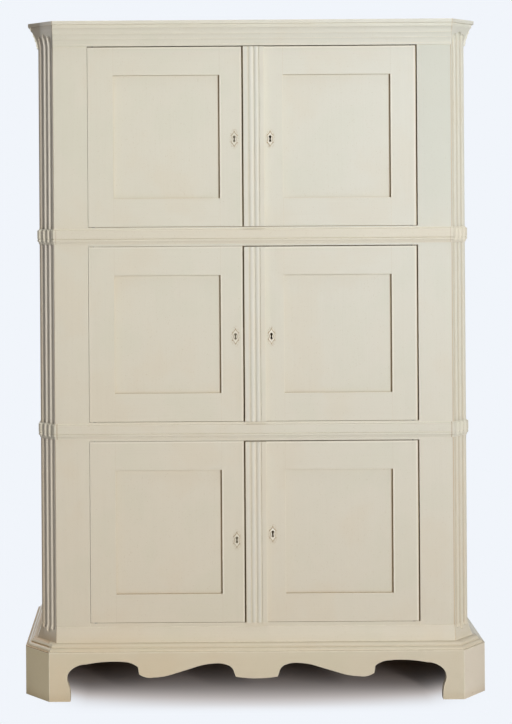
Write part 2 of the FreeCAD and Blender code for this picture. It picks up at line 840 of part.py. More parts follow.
def arch(near, far, top, turn_in):
    """Outline of a plain arch between two bracket feet."""
    quarter = f"{turn_in} * (1 - sqrt(0.5))"
    return [
        (near, "-overrun"),
        (near, f"{top} - {turn_in}"),
        (f"{near} + {turn_in}", top, f"{near} + {quarter}", f"{top} - {quarter}"),
        (f"{far} - {turn_in}", top),
        (far, f"{top} - {turn_in}", f"{far} - {quarter}", f"{top} - {quarter}"),
        (far, "-overrun"),
    ]


def plinth_side(side_name, side):
    name = f"plinth_side_{side_name}"
    board = run(name, f"{side_name}_side", EVEN_MITRE, "base_projection - plinth_thickness",
                "base_projection", "0", "plinth_height")
    length = "(carcase_depth - corner_cant)"
    near, far = ("side_foot_length", f"{length} - side_foot_length")
    if side < 0:
        near, far = (f"side_foot_length - {length}", "-side_foot_length")
    cut_through(board, "XZ_Plane", f"{name}_arch", arch(near, far, "side_arch_height", "side_arch_radius"))
    part(name)


def plinth_back():
    half = "half_width + base_projection - plinth_thickness"
    plan = [(f"-({half})", "0"), (half, "0"), (half, "plinth_thickness"), (f"-({half})", "plinth_thickness")]
    board = raised("plinth_back", plan, "0", "plinth_height")
    bind(board, "Placement.Base.y", "back_y - plinth_thickness")
    cut_through(board, "XZ_Plane", "plinth_back_arch",
                arch(f"side_foot_length - ({half})", f"{half} - side_foot_length",
                     "back_arch_height", "back_arch_radius"))
    part("plinth_back")


def plinth_moulding():
    """Moulded boards laid flat on the plinth, which carry the carcase, and the
    cavetto strips that finish the side boards."""
    pieces = []
    for where in ("front", "left_cant", "right_cant", "left_side", "right_side"):
        pieces.append(run(f"plinth_moulding_{where}", where, EVEN_MITRE, "-plinth_frame_inset",
                          "base_projection", "plinth_height", "carcase_z", plinth_moulding_profile()))
    for where in ("left_side", "right_side"):
        pieces.append(run(f"cavetto_{where}", where, SQUARE_MITRE, "0", "flare_projection",
                          "carcase_z", "flare_top_z", flare_profile()))
    group("plinth_moulding", pieces)
    part("plinth_moulding")


def cornice():
    pieces = []
    for where in ("front", "left_side", "right_side"):
        pieces.append(run(f"cornice_{where}", where, SQUARE_MITRE, "0", "cornice_projection",
                          "cornice_z", "top_z", cornice_profile()))
    group("cornice", pieces)
    part("cornice")


def waist_moulding(name, rail):
    """Band between two tiers; its canted runs carry the flutes on."""
    low = f"{rail} + waist_moulding_lift"
    high = f"{low} + waist_moulding_height"
    pieces = []
    for where in ("front", "left_cant", "right_cant", "left_side", "right_side"):
        piece = run(f"{name}_{where}", where, EVEN_MITRE, "0", "waist_projection", low, high,
                    waist_profile(low))
        if where.endswith("cant"):
            side = -1 if where.startswith("left") else 1
            cutters = flute_cutters(f"{name}_{where}", side, "waist_projection",
                                    f"{low} - overrun", f"{high} + overrun", domed=False)
            piece = without(f"{name}_{where}_fluted", piece, cutters)
        pieces.append(piece)
    group(name, pieces)
    part(name)


# Doors


def keyhole_z(tier, side_name):
    drop = "lower_left_keyhole_drop" if (tier, side_name) == ("lower", "left") else "keyhole_drop"
    return f"{tier}_door_z + {tier}_door_height / 2 - {drop}"


def keyhole(name, x, z, front, back):
    """Keyhole: a round head and a round foot joined by a slot, cut along Y."""
    depth = f"({back}) - ({front})"
    cuts = []
    for label, radius, height in (("head", "keyhole_top_radius", "keyhole_pitch / 2"),
                                  ("foot", "keyhole_foot_radius", "-keyhole_pitch / 2")):
        hole = doc.addObject("Part::Cylinder", f"{name}_{label}")
        hole.Placement = FreeCAD.Placement(
            FreeCAD.Vector(0, 0, 0), FreeCAD.Rotation(FreeCAD.Vector(1, 0, 0), -90))
        bind(hole, "Radius", radius)
        bind(hole, "Height", depth)
        bind(hole, "Placement.Base.x", x)
        bind(hole, "Placement.Base.y", front)
        bind(hole, "Placement.Base.z", f"{z} + {height}")
        cuts.append(hole)
    cuts.append(between(f"{name}_slot", (f"{x} - keyhole_slot_width / 2", f"{x} + keyhole_slot_width / 2"),
                        (front, back), (f"{z} - keyhole_pitch / 2", f"{z} + keyhole_pitch / 2")))
    return cuts


def escutcheon(tier, side_name):
    """Shaped plate round the keyhole, with points above and below and a waist."""
    name = f"escutcheon_{tier}_{side_name}"
    x = f"{side_name}_keyhole_x"
    z = keyhole_z(tier, side_name)
    body = doc.addObject("PartDesign::Body", f"{name}_plate")
    corners = []
    for x_share, z_share, via_x, via_z in ESCUTCHEON_SHARES:
        corners.append((f"{x_share} * escutcheon_width / 2", f"{z_share} * escutcheon_height / 2",
                        f"{via_x} * escutcheon_width / 2", f"{via_z} * escutcheon_height / 2"))
    sketch = sketch_on(body, "XZ_Plane", f"{name}_outline", corners)
    pad = body.newObject("PartDesign::Pad", f"{name}_pad")
    pad.Profile = sketch
    bind(pad, "Length", "escutcheon_thickness")
    bind(body, "Placement.Base.x", x)
    bind(body, "Placement.Base.y", "front_y")
    bind(body, "Placement.Base.z", z)
    without(name, body, keyhole(f"{name}_keyhole", x, z, "front_y - escutcheon_thickness - overrun",
                                "front_y + overrun"))
    part(name)


def door(tier, side_name):
    """A framed door: grooved stiles, tenoned rails and a flat recessed panel."""
    left = side_name == "left"
    label = f"{tier}_{side_name}"
    x0 = f"{side_name}_door_x"
    width = f"{side_name}_door_width"
    near = "left_hinge_stile" if left else "right_meeting_stile"
    far = "left_meeting_stile" if left else "right_hinge_stile"
    z0 = f"{tier}_door_z"
    height = f"{tier}_door_height"
    y = ("front_y", "door_back_y")
    groove_y = ("front_y + panel_recess", "front_y + panel_recess + panel_thickness")
    inner = (f"{x0} + {near}", f"{x0} + {width} - {far}")
    z = (z0, door_top(tier, side_name))
    panel_z = (f"{z0} + door_rail_width", f"{z0} + {height} - door_rail_width")
    hinge_x = pin_x(side_name)

    stiles = []
    for end, x_pair, groove_x in (
            ("near", (x0, inner[0]), (f"{inner[0]} - groove_depth", f"{inner[0]} + overrun")),
            ("far", (inner[1], f"{x0} + {width}"), (f"{inner[1]} - overrun", f"{inner[1]} + groove_depth"))):
        stile = between(f"door_{label}_{end}_stock", x_pair, y, z)
        cuts = [between(f"door_{label}_{end}_groove", groove_x, groove_y,
                        (f"{z[0]} - overrun", f"{z[1]} + overrun"))]
        mortise_x = ((f"{inner[0]} - tenon_length", inner[0]) if end == "near"
                     else (inner[1], f"{inner[1]} + tenon_length"))
        for rail_end, rail_z in (("bottom", (f"{z[0]} + groove_depth", panel_z[0])),
                                 ("top", (panel_z[1], f"{z[1]} - groove_depth"))):
            cuts.append(between(f"door_{label}_{end}_mortise_{rail_end}", mortise_x, groove_y, rail_z))
        if (end == "near") == left:
            bore = "pin_radius + pin_clearance"
            deep = "pin_length + pin_clearance"
            cuts.append(pin_bore(f"door_{label}_bore_bottom", hinge_x, f"{z[0]} - overrun", bore,
                                 f"overrun + {deep}"))
            cuts.append(pin_bore(f"door_{label}_bore_top", hinge_x, f"{z[1]} - ({deep})", bore,
                                 f"overrun + {deep}"))
        elif not left:
            cuts += keyhole(f"door_{label}_keyhole", "right_keyhole_x", keyhole_z(tier, side_name),
                            "front_y - overrun", "door_back_y + overrun")
        stiles.append(without(f"door_{label}_{end}_stile", stile, cuts))

    rails = []
    for rail_end, rail_z, tenon_z, groove_z in (
            ("bottom", (z[0], panel_z[0]), (f"{z[0]} + groove_depth", panel_z[0]),
             (f"{panel_z[0]} - groove_depth", f"{panel_z[0]} + overrun")),
            ("top", (panel_z[1], z[1]), (panel_z[1], f"{z[1]} - groove_depth"),
             (f"{panel_z[1]} - overrun", f"{panel_z[1]} + groove_depth"))):
        rail = between(f"door_{label}_{rail_end}_stock", inner, y, rail_z)
        haunch = between(f"door_{label}_{rail_end}_haunch",
                         (f"{inner[0]} - groove_depth", f"{inner[1]} + groove_depth"), groove_y, rail_z)
        tenon = between(f"door_{label}_{rail_end}_tenon",
                        (f"{inner[0]} - tenon_length", f"{inner[1]} + tenon_length"), groove_y, tenon_z)
        groove = between(f"door_{label}_{rail_end}_groove",
                         (f"{inner[0]} - tenon_length - overrun", f"{inner[1]} + tenon_length + overrun"),
                         groove_y, groove_z)
        rails.append(without(f"door_{label}_{rail_end}_rail",
                             joined(f"door_{label}_{rail_end}_blank", [rail, haunch, tenon]), [groove]))
    group(f"door_frame_{label}", stiles + rails)
    part(f"door_frame_{label}")

    reach = "groove_depth - panel_play"
    between(f"door_panel_{label}", (f"{inner[0]} - ({reach})", f"{inner[1]} + ({reach})"), groove_y,
            (f"{panel_z[0]} - ({reach})", f"{panel_z[1]} + ({reach})"))
    part(f"door_panel_{label}")


def cover_strip(tier):
    """Strip on the right door's meeting edge: a flat, two reeds and a flat."""
    name = f"cover_strip_{tier}"
    flat = "(strip_width - 2 * strip_reed_width) / 2"
    middle = f"{flat} + strip_reed_width"
    end = f"{flat} + 2 * strip_reed_width"
    face = "-strip_thickness"
    quirk = f"{face} + strip_reed_sink"
    plan = [
        ("0", "0"),
        ("0", face),
        (f"{flat}", face),
        (f"{flat}", quirk),
        (middle, quirk, f"{flat} + strip_reed_width / 2", face),
        (end, quirk, f"{middle} + strip_reed_width / 2", face),
        (end, face),
        ("strip_width", face),
        ("strip_width", "0"),
    ]
    body = raised(name, plan, f"{tier}_door_z", f"{tier}_door_z + {tier}_door_height")
    bind(body, "Placement.Base.x", "right_door_x")
    bind(body, "Placement.Base.y", "front_y")
    part(name)


def lock(tier):
    """Rim lock on the back of a right door: an iron case and its bolt."""
    z = keyhole_z(tier, "right")
    x = ("right_door_x + lock_edge_inset", "right_door_x + lock_edge_inset + lock_width")
    y = ("door_back_y", "door_back_y + lock_thickness")
    case = between(f"lock_case_{tier}_shell", x, y, (f"{z} - lock_height / 2", f"{z} + lock_height / 2"))
    slot = "lock_bolt_clearance"
    half = "lock_bolt_height / 2"
    room = between(f"lock_case_{tier}_bolt_way",
                   (f"{x[0]} - overrun", f"{x[0]} + lock_bolt_length + lock_wall"),
                   (f"bolt_y - {slot}", f"bolt_y + lock_bolt_thickness + {slot}"),
                   (f"{z} - {half} - {slot}", f"{z} + {half} + {slot}"))
    key_way = keyhole(f"lock_case_{tier}_keyhole", "right_keyhole_x", z, "door_back_y - overrun",
                      "door_back_y + lock_wall")
    without(f"lock_case_{tier}", case, [room] + key_way)
    part(f"lock_case_{tier}")
    between(f"lock_bolt_{tier}", (x[0], f"{x[0]} + lock_bolt_length"),
            ("bolt_y", "bolt_y + lock_bolt_thickness"), (f"{z} - {half}", f"{z} + {half}"))
    part(f"lock_bolt_{tier}")


def slide_bolt(tier):
    """Iron bolt on the back of a left door, and the two staples that guide it."""
    top = f"{tier}_door_z + {tier}_door_height"
    bar_x = ("slide_x - slide_width / 2", "slide_x + slide_width / 2")
    bar_y = ("door_back_y + slide_clearance", "door_back_y + slide_clearance + slide_thickness")
    bar_top = f"{top} - slide_rest_drop"
    bar = between(f"slide_bolt_{tier}_bar", bar_x, bar_y, (f"{bar_top} - slide_length", bar_top))
    knob = doc.addObject("Part::Cylinder", f"slide_bolt_{tier}_knob")
    knob.Placement = FreeCAD.Placement(
        FreeCAD.Vector(0, 0, 0), FreeCAD.Rotation(FreeCAD.Vector(1, 0, 0), -90))
    bind(knob, "Radius", "slide_knob_radius")
    bind(knob, "Height", "slide_knob_length")
    bind(knob, "Placement.Base.x", "slide_x")
    bind(knob, "Placement.Base.y", "door_back_y + slide_clearance")
    bind(knob, "Placement.Base.z", f"{bar_top} - slide_length + slide_knob_radius")
    joined(f"slide_bolt_{tier}", [bar, knob])
    part(f"slide_bolt_{tier}")

    staples = []
    for index in range(2):
        high = f"{bar_top} - staple_drop - {index} * staple_pitch"
        z = (f"{high} - staple_height", high)
        foot = between(f"bolt_staple_{tier}_{index}_foot",
                       (f"{bar_x[0]} - slide_clearance - staple_wall - staple_foot",
                        f"{bar_x[1]} + slide_clearance + staple_wall + staple_foot"),
                       ("door_back_y", "door_back_y + staple_wall"), z)
        hoop = between(f"bolt_staple_{tier}_{index}_hoop",
                       (f"{bar_x[0]} - slide_clearance - staple_wall",
                        f"{bar_x[1]} + slide_clearance + staple_wall"),
                       ("door_back_y", f"{bar_y[1]} + slide_clearance + staple_wall"), z)
        way = between(f"bolt_staple_{tier}_{index}_way",
                      (f"{bar_x[0]} - slide_clearance", f"{bar_x[1]} + slide_clearance"),
                      ("door_back_y - overrun", f"{bar_y[1]} + slide_clearance"),
                      (f"{z[0]} - overrun", f"{z[1]} + overrun"))
        staples.append(without(f"bolt_staple_{tier}_{index}",
                               joined(f"bolt_staple_{tier}_{index}_strap", [foot, hoop]), [way]))
    group(f"bolt_staples_{tier}", staples)
    part(f"bolt_staples_{tier}")


# Boards inside, with the height of their lower face
BOARDS = [
    ("bottom_board", "sill_z + stop_rise - board_thickness", "board_thickness", "board_front_y"),
    ("divider_lower", "lower_waist_z + waist_rail_height + stop_rise - board_thickness",
     "board_thickness", "board_front_y"),
    ("divider_upper", "upper_waist_z + waist_rail_height + stop_rise - board_thickness",
     "board_thickness", "board_front_y"),
    ("top_board", "carcase_top_z - top_board_drop - board_thickness", "board_thickness",
     "front_y + face_thickness"),
]
for tier in TIERS:
    BOARDS.append((f"shelf_{tier}", f"{tier}_door_z + ({tier}_door_height - shelf_thickness) / 2",
                   "shelf_thickness", "shelf_front_y"))

plinth_front()
for side_name, side in SIDES:
    run(f"plinth_corner_{side_name}", f"{side_name}_cant", EVEN_MITRE,
        "base_projection - plinth_thickness", "base_projection", "0", "plinth_height")
    part(f"plinth_corner_{side_name}")
    plinth_side(side_name, side)
    side_board(side_name, side)
    corner_post(side_name, side)
    face_stile(side_name, side)
plinth_back()
plinth_moulding()
sill_rail()
waist_rail("waist_rail_lower", "lower_waist_z")
waist_rail("waist_rail_upper", "upper_waist_z")
head_rail()
shelves = []
for board_name, low, thickness, front in BOARDS:
    if board_name.startswith("shelf"):
        shelves.append(plain_board(board_name, low, thickness, front))
    elif board_name == "top_board":
        plain_board(board_name, low, thickness, front)
        part(board_name)
    else:
        door_stop_board(board_name, low, thickness)
group("shelves", shelves)
part("shelves")
back_boards()
cornice()
waist_moulding("waist_moulding_lower", "lower_waist_z")
waist_moulding("waist_moulding_upper", "upper_waist_z")
hinge_pins()
for tier in TIERS:
    for side_name in ("left", "right"):
        door(tier, side_name)
        escutcheon(tier, side_name)
    cover_strip(tier)
    lock(tier)
    slide_bolt(tier)

# Check everything, then write the pieces
doc.recompute()
for thing in doc.Objects:
    if "Invalid" in thing.State or "Error" in thing.State:
        raise ValueError(f"{thing.Label} did not compute")
for node in nodes:
    if node.Shape.isNull() or not node.Shape.isValid():
        raise ValueError(f"{node.Label} has no valid shape")
os.makedirs("parts", exist_ok=True)
for node in nodes:
    node.Shape.exportStep(f"parts/{node.Label}.step")
print(f"{len(nodes)} nodes, {sum(len(node.Shape.Solids) for node in nodes)} solids")
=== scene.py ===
# %% [markdown]
# # A painted cupboard in three tiers
# The cupboard itself, with its doors, boards, mouldings and locks, comes as solid
# pieces in metres.  This lesson gives it its looks: brushed cream paint that is
# worn pale and given a painted highlight along its edges, with painted shade in its
# gaps and hollows, bare pine inside, old iron, and the shaped plates round the
# keyholes.

# %% Load the pieces
import math
from functools import reduce

import bpy
import numpy as np
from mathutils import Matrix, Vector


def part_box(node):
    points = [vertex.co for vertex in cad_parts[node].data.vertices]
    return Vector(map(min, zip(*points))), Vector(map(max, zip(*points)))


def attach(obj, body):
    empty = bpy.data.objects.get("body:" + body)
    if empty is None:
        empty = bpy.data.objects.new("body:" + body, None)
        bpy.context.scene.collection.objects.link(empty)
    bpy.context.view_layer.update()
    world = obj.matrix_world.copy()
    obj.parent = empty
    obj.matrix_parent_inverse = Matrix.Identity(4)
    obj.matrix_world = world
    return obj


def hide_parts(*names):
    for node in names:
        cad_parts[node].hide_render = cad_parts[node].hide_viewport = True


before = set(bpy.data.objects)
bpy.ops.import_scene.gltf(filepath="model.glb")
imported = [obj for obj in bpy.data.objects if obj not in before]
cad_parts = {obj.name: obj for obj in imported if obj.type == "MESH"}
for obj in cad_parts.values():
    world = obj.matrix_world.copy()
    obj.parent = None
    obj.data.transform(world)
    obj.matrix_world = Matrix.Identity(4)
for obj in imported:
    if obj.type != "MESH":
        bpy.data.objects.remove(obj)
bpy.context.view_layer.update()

# %% [markdown]
# ## The camera
# The picture was taken from a little left of the middle, at about eye height.  The
# uprights of the cupboard stay almost parallel in it, so the camera was held level
# and its lens was shifted.  A shifted lens does the same here, and nothing leans.
# The camera rolls by four tenths of a degree, as it did for the picture.

# %% Place the camera
FRAME_WIDTH, FRAME_HEIGHT = 512, 724  # pixels
VANISHING_POINT = (175.8, 192.0)  # pixels from the left and from the top
LENS_DISTANCE = 1500.0  # pixels
FRONT_FACE = -0.216
CAMERA_PLACE = (-0.246, FRONT_FACE - 4.800, 1.612)
CAMERA_ROLL = 0.39  # degrees


def add_to_scene(name, data):
    """Make an object at the origin and link it to the scene."""
    thing = bpy.data.objects.new(name, data)
    bpy.context.scene.collection.objects.link(thing)
    return thing


camera_data = bpy.data.cameras.new("camera")
camera_data.sensor_fit = "AUTO"
camera_data.lens = camera_data.sensor_width * LENS_DISTANCE / FRAME_HEIGHT
camera_data.shift_x = (FRAME_WIDTH / 2 - VANISHING_POINT[0]) / FRAME_HEIGHT
camera_data.shift_y = (VANISHING_POINT[1] - FRAME_HEIGHT / 2) / FRAME_HEIGHT
camera_data.clip_start = 0.05
camera = add_to_scene("camera", camera_data)
camera.location = CAMERA_PLACE
camera.rotation_euler = (math.pi / 2, math.radians(CAMERA_ROLL), 0)
bpy.context.scene.camera = camera
bpy.context.scene.view_settings.view_transform = "Standard"
print("lens", round(camera_data.lens, 1), "mm, shift",
      round(camera_data.shift_x, 3), round(camera_data.shift_y, 3))

# %% [markdown]
# ## Nodes as sums
# A material is a small calculation that runs at every point of a surface.  It could
# be wired by hand, node by node, but written as Python expressions it stays
# readable.  A `Wire` is the value that leaves a node, and adding or multiplying
# wires adds the Math nodes that do it.

# %% Wires that can be added and multiplied
class Wire:
    """The value that leaves one socket of a node."""

    def __init__(self, nodes, socket):
        self.nodes = nodes
        self.socket = socket

    def math(self, operation, *others, clamp=False):
        """Add a Math node that works on this value and the others."""
        settings = {"operation": operation, "use_clamp": clamp}
        return self.nodes.node("ShaderNodeMath", settings, dict(enumerate((self, *others))))

    def __add__(self, other):
        return self.math("ADD", other)

    def __sub__(self, other):
        return self.math("SUBTRACT", other)

    def __rsub__(self, other):
        return (self * -1.0) + other

    def __mul__(self, other):
        return self.math("MULTIPLY", other)

    def __truediv__(self, other):
        return self.math("DIVIDE", other)

    def __abs__(self):
        return self.math("ABSOLUTE")

    __radd__ = __add__
    __rmul__ = __mul__

    def clamped(self):
        """The value kept between 0 and 1."""
        return self.math("ADD", 0.0, clamp=True)

    def above(self, other):
        """1 where the value is greater than the other, and 0 elsewhere."""
        return self.math("GREATER_THAN", other)

    def near(self, place, reach):
        """1 at the place, falling evenly to 0 at the reach on either side."""
        return (1.0 - abs(self - place) / reach).clamped()

    def ramp(self, low, high, start=0.0, end=1.0):
        """Turn low..high smoothly into start..end."""
        return self.nodes.node("ShaderNodeMapRange", {"interpolation_type": "SMOOTHSTEP"},
                               {"Value": self, "From Min": low, "From Max": high,
                                "To Min": start, "To Max": end})

    def either(self, other):
        """The greater of two masks."""
        return self.math("MAXIMUM", other)

    def both(self, other):
        """The smaller of two masks."""
        return self.math("MINIMUM", other)


def any_of(*masks):
    """The greatest of several masks."""
    return reduce(Wire.either, masks)


print("a wire also knows", [name for name in vars(Wire) if not name.startswith("_")])

# %% [markdown]
# Every other node comes from one method.  It sets the node's own settings first, and
# then feeds its sockets with values or with wires.  A `Recipe` is one material.  It
# starts from a point's place on the piece, its x, y and z in Object coordinates, and
# it ends in one Principled shader.

# %% Recipes that hold a material
MIX_SOCKETS = {"FLOAT": (2, 3, 0), "VECTOR": (4, 5, 1), "RGBA": (6, 7, 2)}  # in, in, out


class Nodes:
    """A tree of nodes that grows by one node at a time."""

    def __init__(self, tree):
        self.tree = tree

    def node(self, kind, settings, sockets, output=0):
        """Add a node: first its settings, then the values or wires of its sockets."""
        node = self.tree.nodes.new(kind)
        for name, value in settings.items():
            setattr(node, name, value)
        for name, value in sockets.items():
            self.feed(node.inputs[name], value)
        return Wire(self, node.outputs[output])

    def feed(self, socket, value):
        """Link a wire to a socket, or set a value or a colour on it."""
        if isinstance(value, Wire):
            self.tree.links.new(value.socket, socket)
        elif isinstance(value, tuple) and len(value) == 3 and socket.type == "RGBA":
            socket.default_value = (*value, 1.0)
        else:
            socket.default_value = value


class Recipe(Nodes):
    """A material, made of nodes that end in one Principled shader."""

    def __init__(self, name):
        self.material = bpy.data.materials.new(name)
        self.material.use_nodes = True
        super().__init__(self.material.node_tree)
        self.shader = self.tree.nodes["Principled BSDF"]
        self.place = self.node("ShaderNodeTexCoord", {}, {}, "Object")
        self.lies_level = None
        self.x, self.y, self.z = (
            self.node("ShaderNodeSeparateXYZ", {}, {"Vector": self.place}, axis) for axis in "XYZ")

    def scaled(self, scale, shift):
        """The place on the piece, with its three directions drawn out or pressed."""
        return self.node("ShaderNodeMapping", {},
                         {"Vector": self.place, "Scale": scale, "Location": shift})

    def along_grain(self, brush, along, across, seed):
        """The place drawn out along the grain, the way in which the brush is coarse.
        On parts that lie level an upright grain turns sideways."""
        scale = tuple(s * (across if s == max(brush) else along) for s in brush)
        shift = (seed, seed, seed)
        upright = self.scaled(scale, shift)
        if self.lies_level is None:
            return upright
        level = self.scaled((scale[2], scale[2], scale[0]), shift)
        return self.mix("VECTOR", self.lies_level, upright, level)

    def facing(self, axis):
        """How much the surface faces along an axis, from -1 to 1."""
        normal = self.node("ShaderNodeNewGeometry", {}, {}, "Normal")
        return self.node("ShaderNodeSeparateXYZ", {}, {"Vector": normal}, axis)

    def arris(self, radius):
        """1 on sharp outer and inner edges, 0 on flats: how far a rounded normal leans."""
        rounded = self.node("ShaderNodeBevel", {"samples": 4}, {"Radius": radius}, "Normal")
        sharp = self.node("ShaderNodeNewGeometry", {}, {}, "Normal")
        lean = self.node("ShaderNodeVectorMath", {"operation": "DOT_PRODUCT"},
                         {0: rounded, 1: sharp}, 1)
        return (1.0 - lean).ramp(0.02, 0.16)

    def noise(self, place, scale=1.0, detail=2.0, roughness=0.5):
        """Noise from 0 to 1; scale is how many times it changes in a metre."""
        return self.node("ShaderNodeTexNoise", {"noise_dimensions": "3D"},
                         {"Vector": place, "Scale": scale, "Detail": detail,
                          "Roughness": roughness}, "Fac")

    def mix(self, kind, share, first, second, **settings):
        """Mix two numbers, places or colours by a share from 0 to 1."""
        first_socket, second_socket, output = MIX_SOCKETS[kind]
        return self.node("ShaderNodeMix", {"data_type": kind, **settings},
                         {0: share, first_socket: first, second_socket: second}, output)

    def blend(self, share, first, second, mode="MIX"):
        """Mix two colours by a share from 0 to 1; MULTIPLY tints the first."""
        return self.mix("RGBA", share, first, second, blend_type=mode, clamp_factor=True)

    def bump(self, height, distance, strength):
        """The normal of a surface with this relief, which distance gives in metres."""
        return self.node("ShaderNodeBump", {},
                         {"Height": height, "Distance": distance, "Strength": strength})

    def finish(self, **sockets):
        """Feed the shader and hand out the material."""
        for name, value in sockets.items():
            self.feed(self.shader.inputs[name.replace("_", " ")], value)
        return self.material


print("a recipe also knows", [name for name in vars(Recipe) if not name.startswith("_")])

# %% [markdown]
# Colours are written as they look on a screen, from 0 to 255.  The shader needs the
# share of light that the paint gives back.

# %% From screen colours to shares of light
def linear(red, green, blue):
    """The screen's curve undone: about the screen value to the power of 2.4."""
    share = np.array([red, green, blue]) / 255.0
    value = np.where(share <= 0.04045, share / 12.92, ((share + 0.055) / 1.055) ** 2.4)
    return tuple(float(v) for v in value)


print("white paint gives back", [round(v, 3) for v in linear(219, 214, 198)], "of the light")

# %% [markdown]
# ## Light, floor and background
# The background is plain and very pale blue-white, and the cupboard's shadow shows
# under its base.  The main light stands well to the right, not much above eye
# height: the recessed panels are dark along their right edges, hardly along their
# top edges, and the left cant lies in shade.  A far lamp does that, a weak soft
# lamp from above lights the ledges, and an even sky fills in the shadows.  One more
# soft lamp stands behind on the left, so that the back and the left side are lit.

# %% Light the room
BACKGROUND = linear(241, 245, 251)
SKY_COLOUR, SKY_STRENGTH = (0.96, 0.95, 1.0), 0.1

world = bpy.data.worlds.new("sky")
world.use_nodes = True
bpy.context.scene.world = world
sky = Nodes(world.node_tree)
sky.tree.nodes.clear()
fill = sky.node("ShaderNodeBackground", {}, {"Color": SKY_COLOUR, "Strength": SKY_STRENGTH})
backdrop = sky.node("ShaderNodeBackground", {}, {"Color": BACKGROUND})
camera_ray = sky.node("ShaderNodeLightPath", {}, {}, "Is Camera Ray")
glossy_ray = sky.node("ShaderNodeLightPath", {}, {}, "Is Glossy Ray")
choice = sky.node("ShaderNodeMixShader", {},
                  {0: camera_ray.either(glossy_ray), 1: fill, 2: backdrop})
sky.feed(sky.tree.nodes.new("ShaderNodeOutputWorld").inputs["Surface"], choice)


def soft_lamp(name, place, target, width, height, power, colour):
    """A square lamp that faces its target."""
    data = bpy.data.lights.new(name, "AREA")
    data.shape, data.size, data.size_y = "RECTANGLE", width, height
    data.energy, data.color = power, colour
    lamp = add_to_scene(name, data)
    lamp.location = place
    along_x, along_y, along_z = np.array(target) - np.array(place)
    lamp.rotation_euler = (math.atan2(math.hypot(along_x, along_y), -along_z), 0.0,
                           math.atan2(along_y, along_x) - math.pi / 2)


soft_lamp("key_lamp", place=(3.7, -7.8, 2.9), target=(0.0, -0.2, 1.3),
          width=1.0, height=2.4, power=480.0, colour=(1.0, 0.985, 0.955))
soft_lamp("top_lamp", place=(0.0, -0.7, 6.0), target=(0.0, -0.7, 0.0),
          width=3.2, height=2.2, power=86.0, colour=(0.97, 0.98, 1.0))
soft_lamp("rear_lamp", place=(-3.4, 4.6, 3.4), target=(-0.3, 0.2, 1.0),
          width=2.4, height=2.4, power=140.0, colour=(0.97, 0.98, 1.0))

# %% [markdown]
# The floor is a large pale sheet.  What the camera sees of it is the plain
# background, so that no horizon shows.

# %% Lay the floor
FLOOR_REACH = 30.0


def floor_sheet(name, reach, height):
    """A level square: x and y run over a grid, z is the height."""
    side = np.linspace(-reach, reach, 3)
    x, y = np.meshgrid(side, side)
    points = np.stack([x, y, np.full_like(x, height)], axis=-1).reshape(-1, 3)
    corner = np.array([0, 1, 4, 3])
    faces = np.concatenate([corner + start for start in (0, 1, 3, 4)]).reshape(-1, 4)
    mesh = bpy.data.meshes.new(name)
    mesh.from_pydata(points.tolist(), [], faces.tolist())
    return add_to_scene(name, mesh)


floor = floor_sheet("floor", FLOOR_REACH, 0.0)
print("floor reaches", FLOOR_REACH, "m each way")

# %% [markdown]
# Under the base the floor turns into ordinary matt paper, which takes the cupboard's
# shadow.  For the camera, background and paper are mixed by a painted shadow, a
# formula for how much light is left at a place.  The light begins to fade a little
# in front of the base, is halved just behind its front edge, later at the feet than
# in the middle, and by the middle of the floor only shade is left.  At the back the
# shade ends in a round.  The paper itself is painted darker under the cupboard, as
# shade.  In front of the base only the camera sees it dark, because a dark sheet
# there would throw less light on the feet.

# %% Shade the floor
BASE_FRONT, BASE_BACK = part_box("plinth_front")[0][1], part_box("plinth_back")[1][1]
BASE_SIDE = 0.7385
PAPER_GREY, PAPER_WHITE, PAPER_SHADE_DARK = (
    linear(226, 226, 230), linear(238, 238, 241), linear(134, 124, 120))
SHADE_EDGE = linear(241, 234, 232)
PAPER_TURN, PAPER_TURN_BACK = 0.12, 0.1
HALF_LIGHT, HALF_LIGHT_CENTRE = -0.241, 0.05
END_CURVE, FOOT_CURVE, FOOT_START = 0.12, 0.5, 0.54
SHADE_SOFT, SHADE_SOFT_LOSS = 0.065, 0.068
SHADE_START, SHADE_WHOLE = -0.40, -0.30
SIDE_SHADE_DEPTH = 0.10
REAR_SHADE_REACH, REAR_SHADE_LEAST, REAR_SHADE_HALF = 0.55, 0.02, 0.80


def painted_paper_shade(paper, seen_directly):
    """Painted shade on the paper: 1 under the cupboard, and also a little in front of it for the
    camera alone.
    """
    past_front = paper.y - BASE_FRONT
    for_light = past_front.ramp(0.0, PAPER_TURN)
    for_camera = past_front.ramp(-PAPER_TURN, 0.0)
    under = for_light + (for_camera - for_light) * seen_directly
    return under * (paper.y - BASE_BACK).ramp(0.0, PAPER_TURN_BACK, 1.0, 0.0)


def light_left(paper):
    """1 / (1 + e^((y - half) / soft)): half is where the light is halved, and grows
    with the square of x and at the feet; soft is how slowly the light fades."""
    from_centre = paper.x - HALF_LIGHT_CENTRE
    half_light = (from_centre * from_centre * END_CURVE + HALF_LIGHT
                  + (abs(paper.x) - FOOT_START).math("MAXIMUM", 0.0) * FOOT_CURVE)
    soft = SHADE_SOFT - paper.x * paper.x * SHADE_SOFT_LOSS
    return (((paper.y - half_light) / soft).math("EXPONENT") + 1.0).math("POWER", -1.0)


def can_be_shaded(paper):
    """1 by the cupboard, fading to 0 at its ends, before it and in a round behind."""
    inside_ends = ((BASE_SIDE - abs(paper.x)) / SIDE_SHADE_DEPTH).clamped().ramp(0.0, 1.0)
    across = paper.x / REAR_SHADE_HALF
    round_end = (1.0 - across * across).clamped().math("SQRT")
    past_back = (paper.y - BASE_BACK) / (round_end * REAR_SHADE_REACH + REAR_SHADE_LEAST)
    return (inside_ends * past_back.ramp(-0.05, 1.0, 1.0, 0.0)
            * paper.y.ramp(SHADE_START, SHADE_WHOLE))


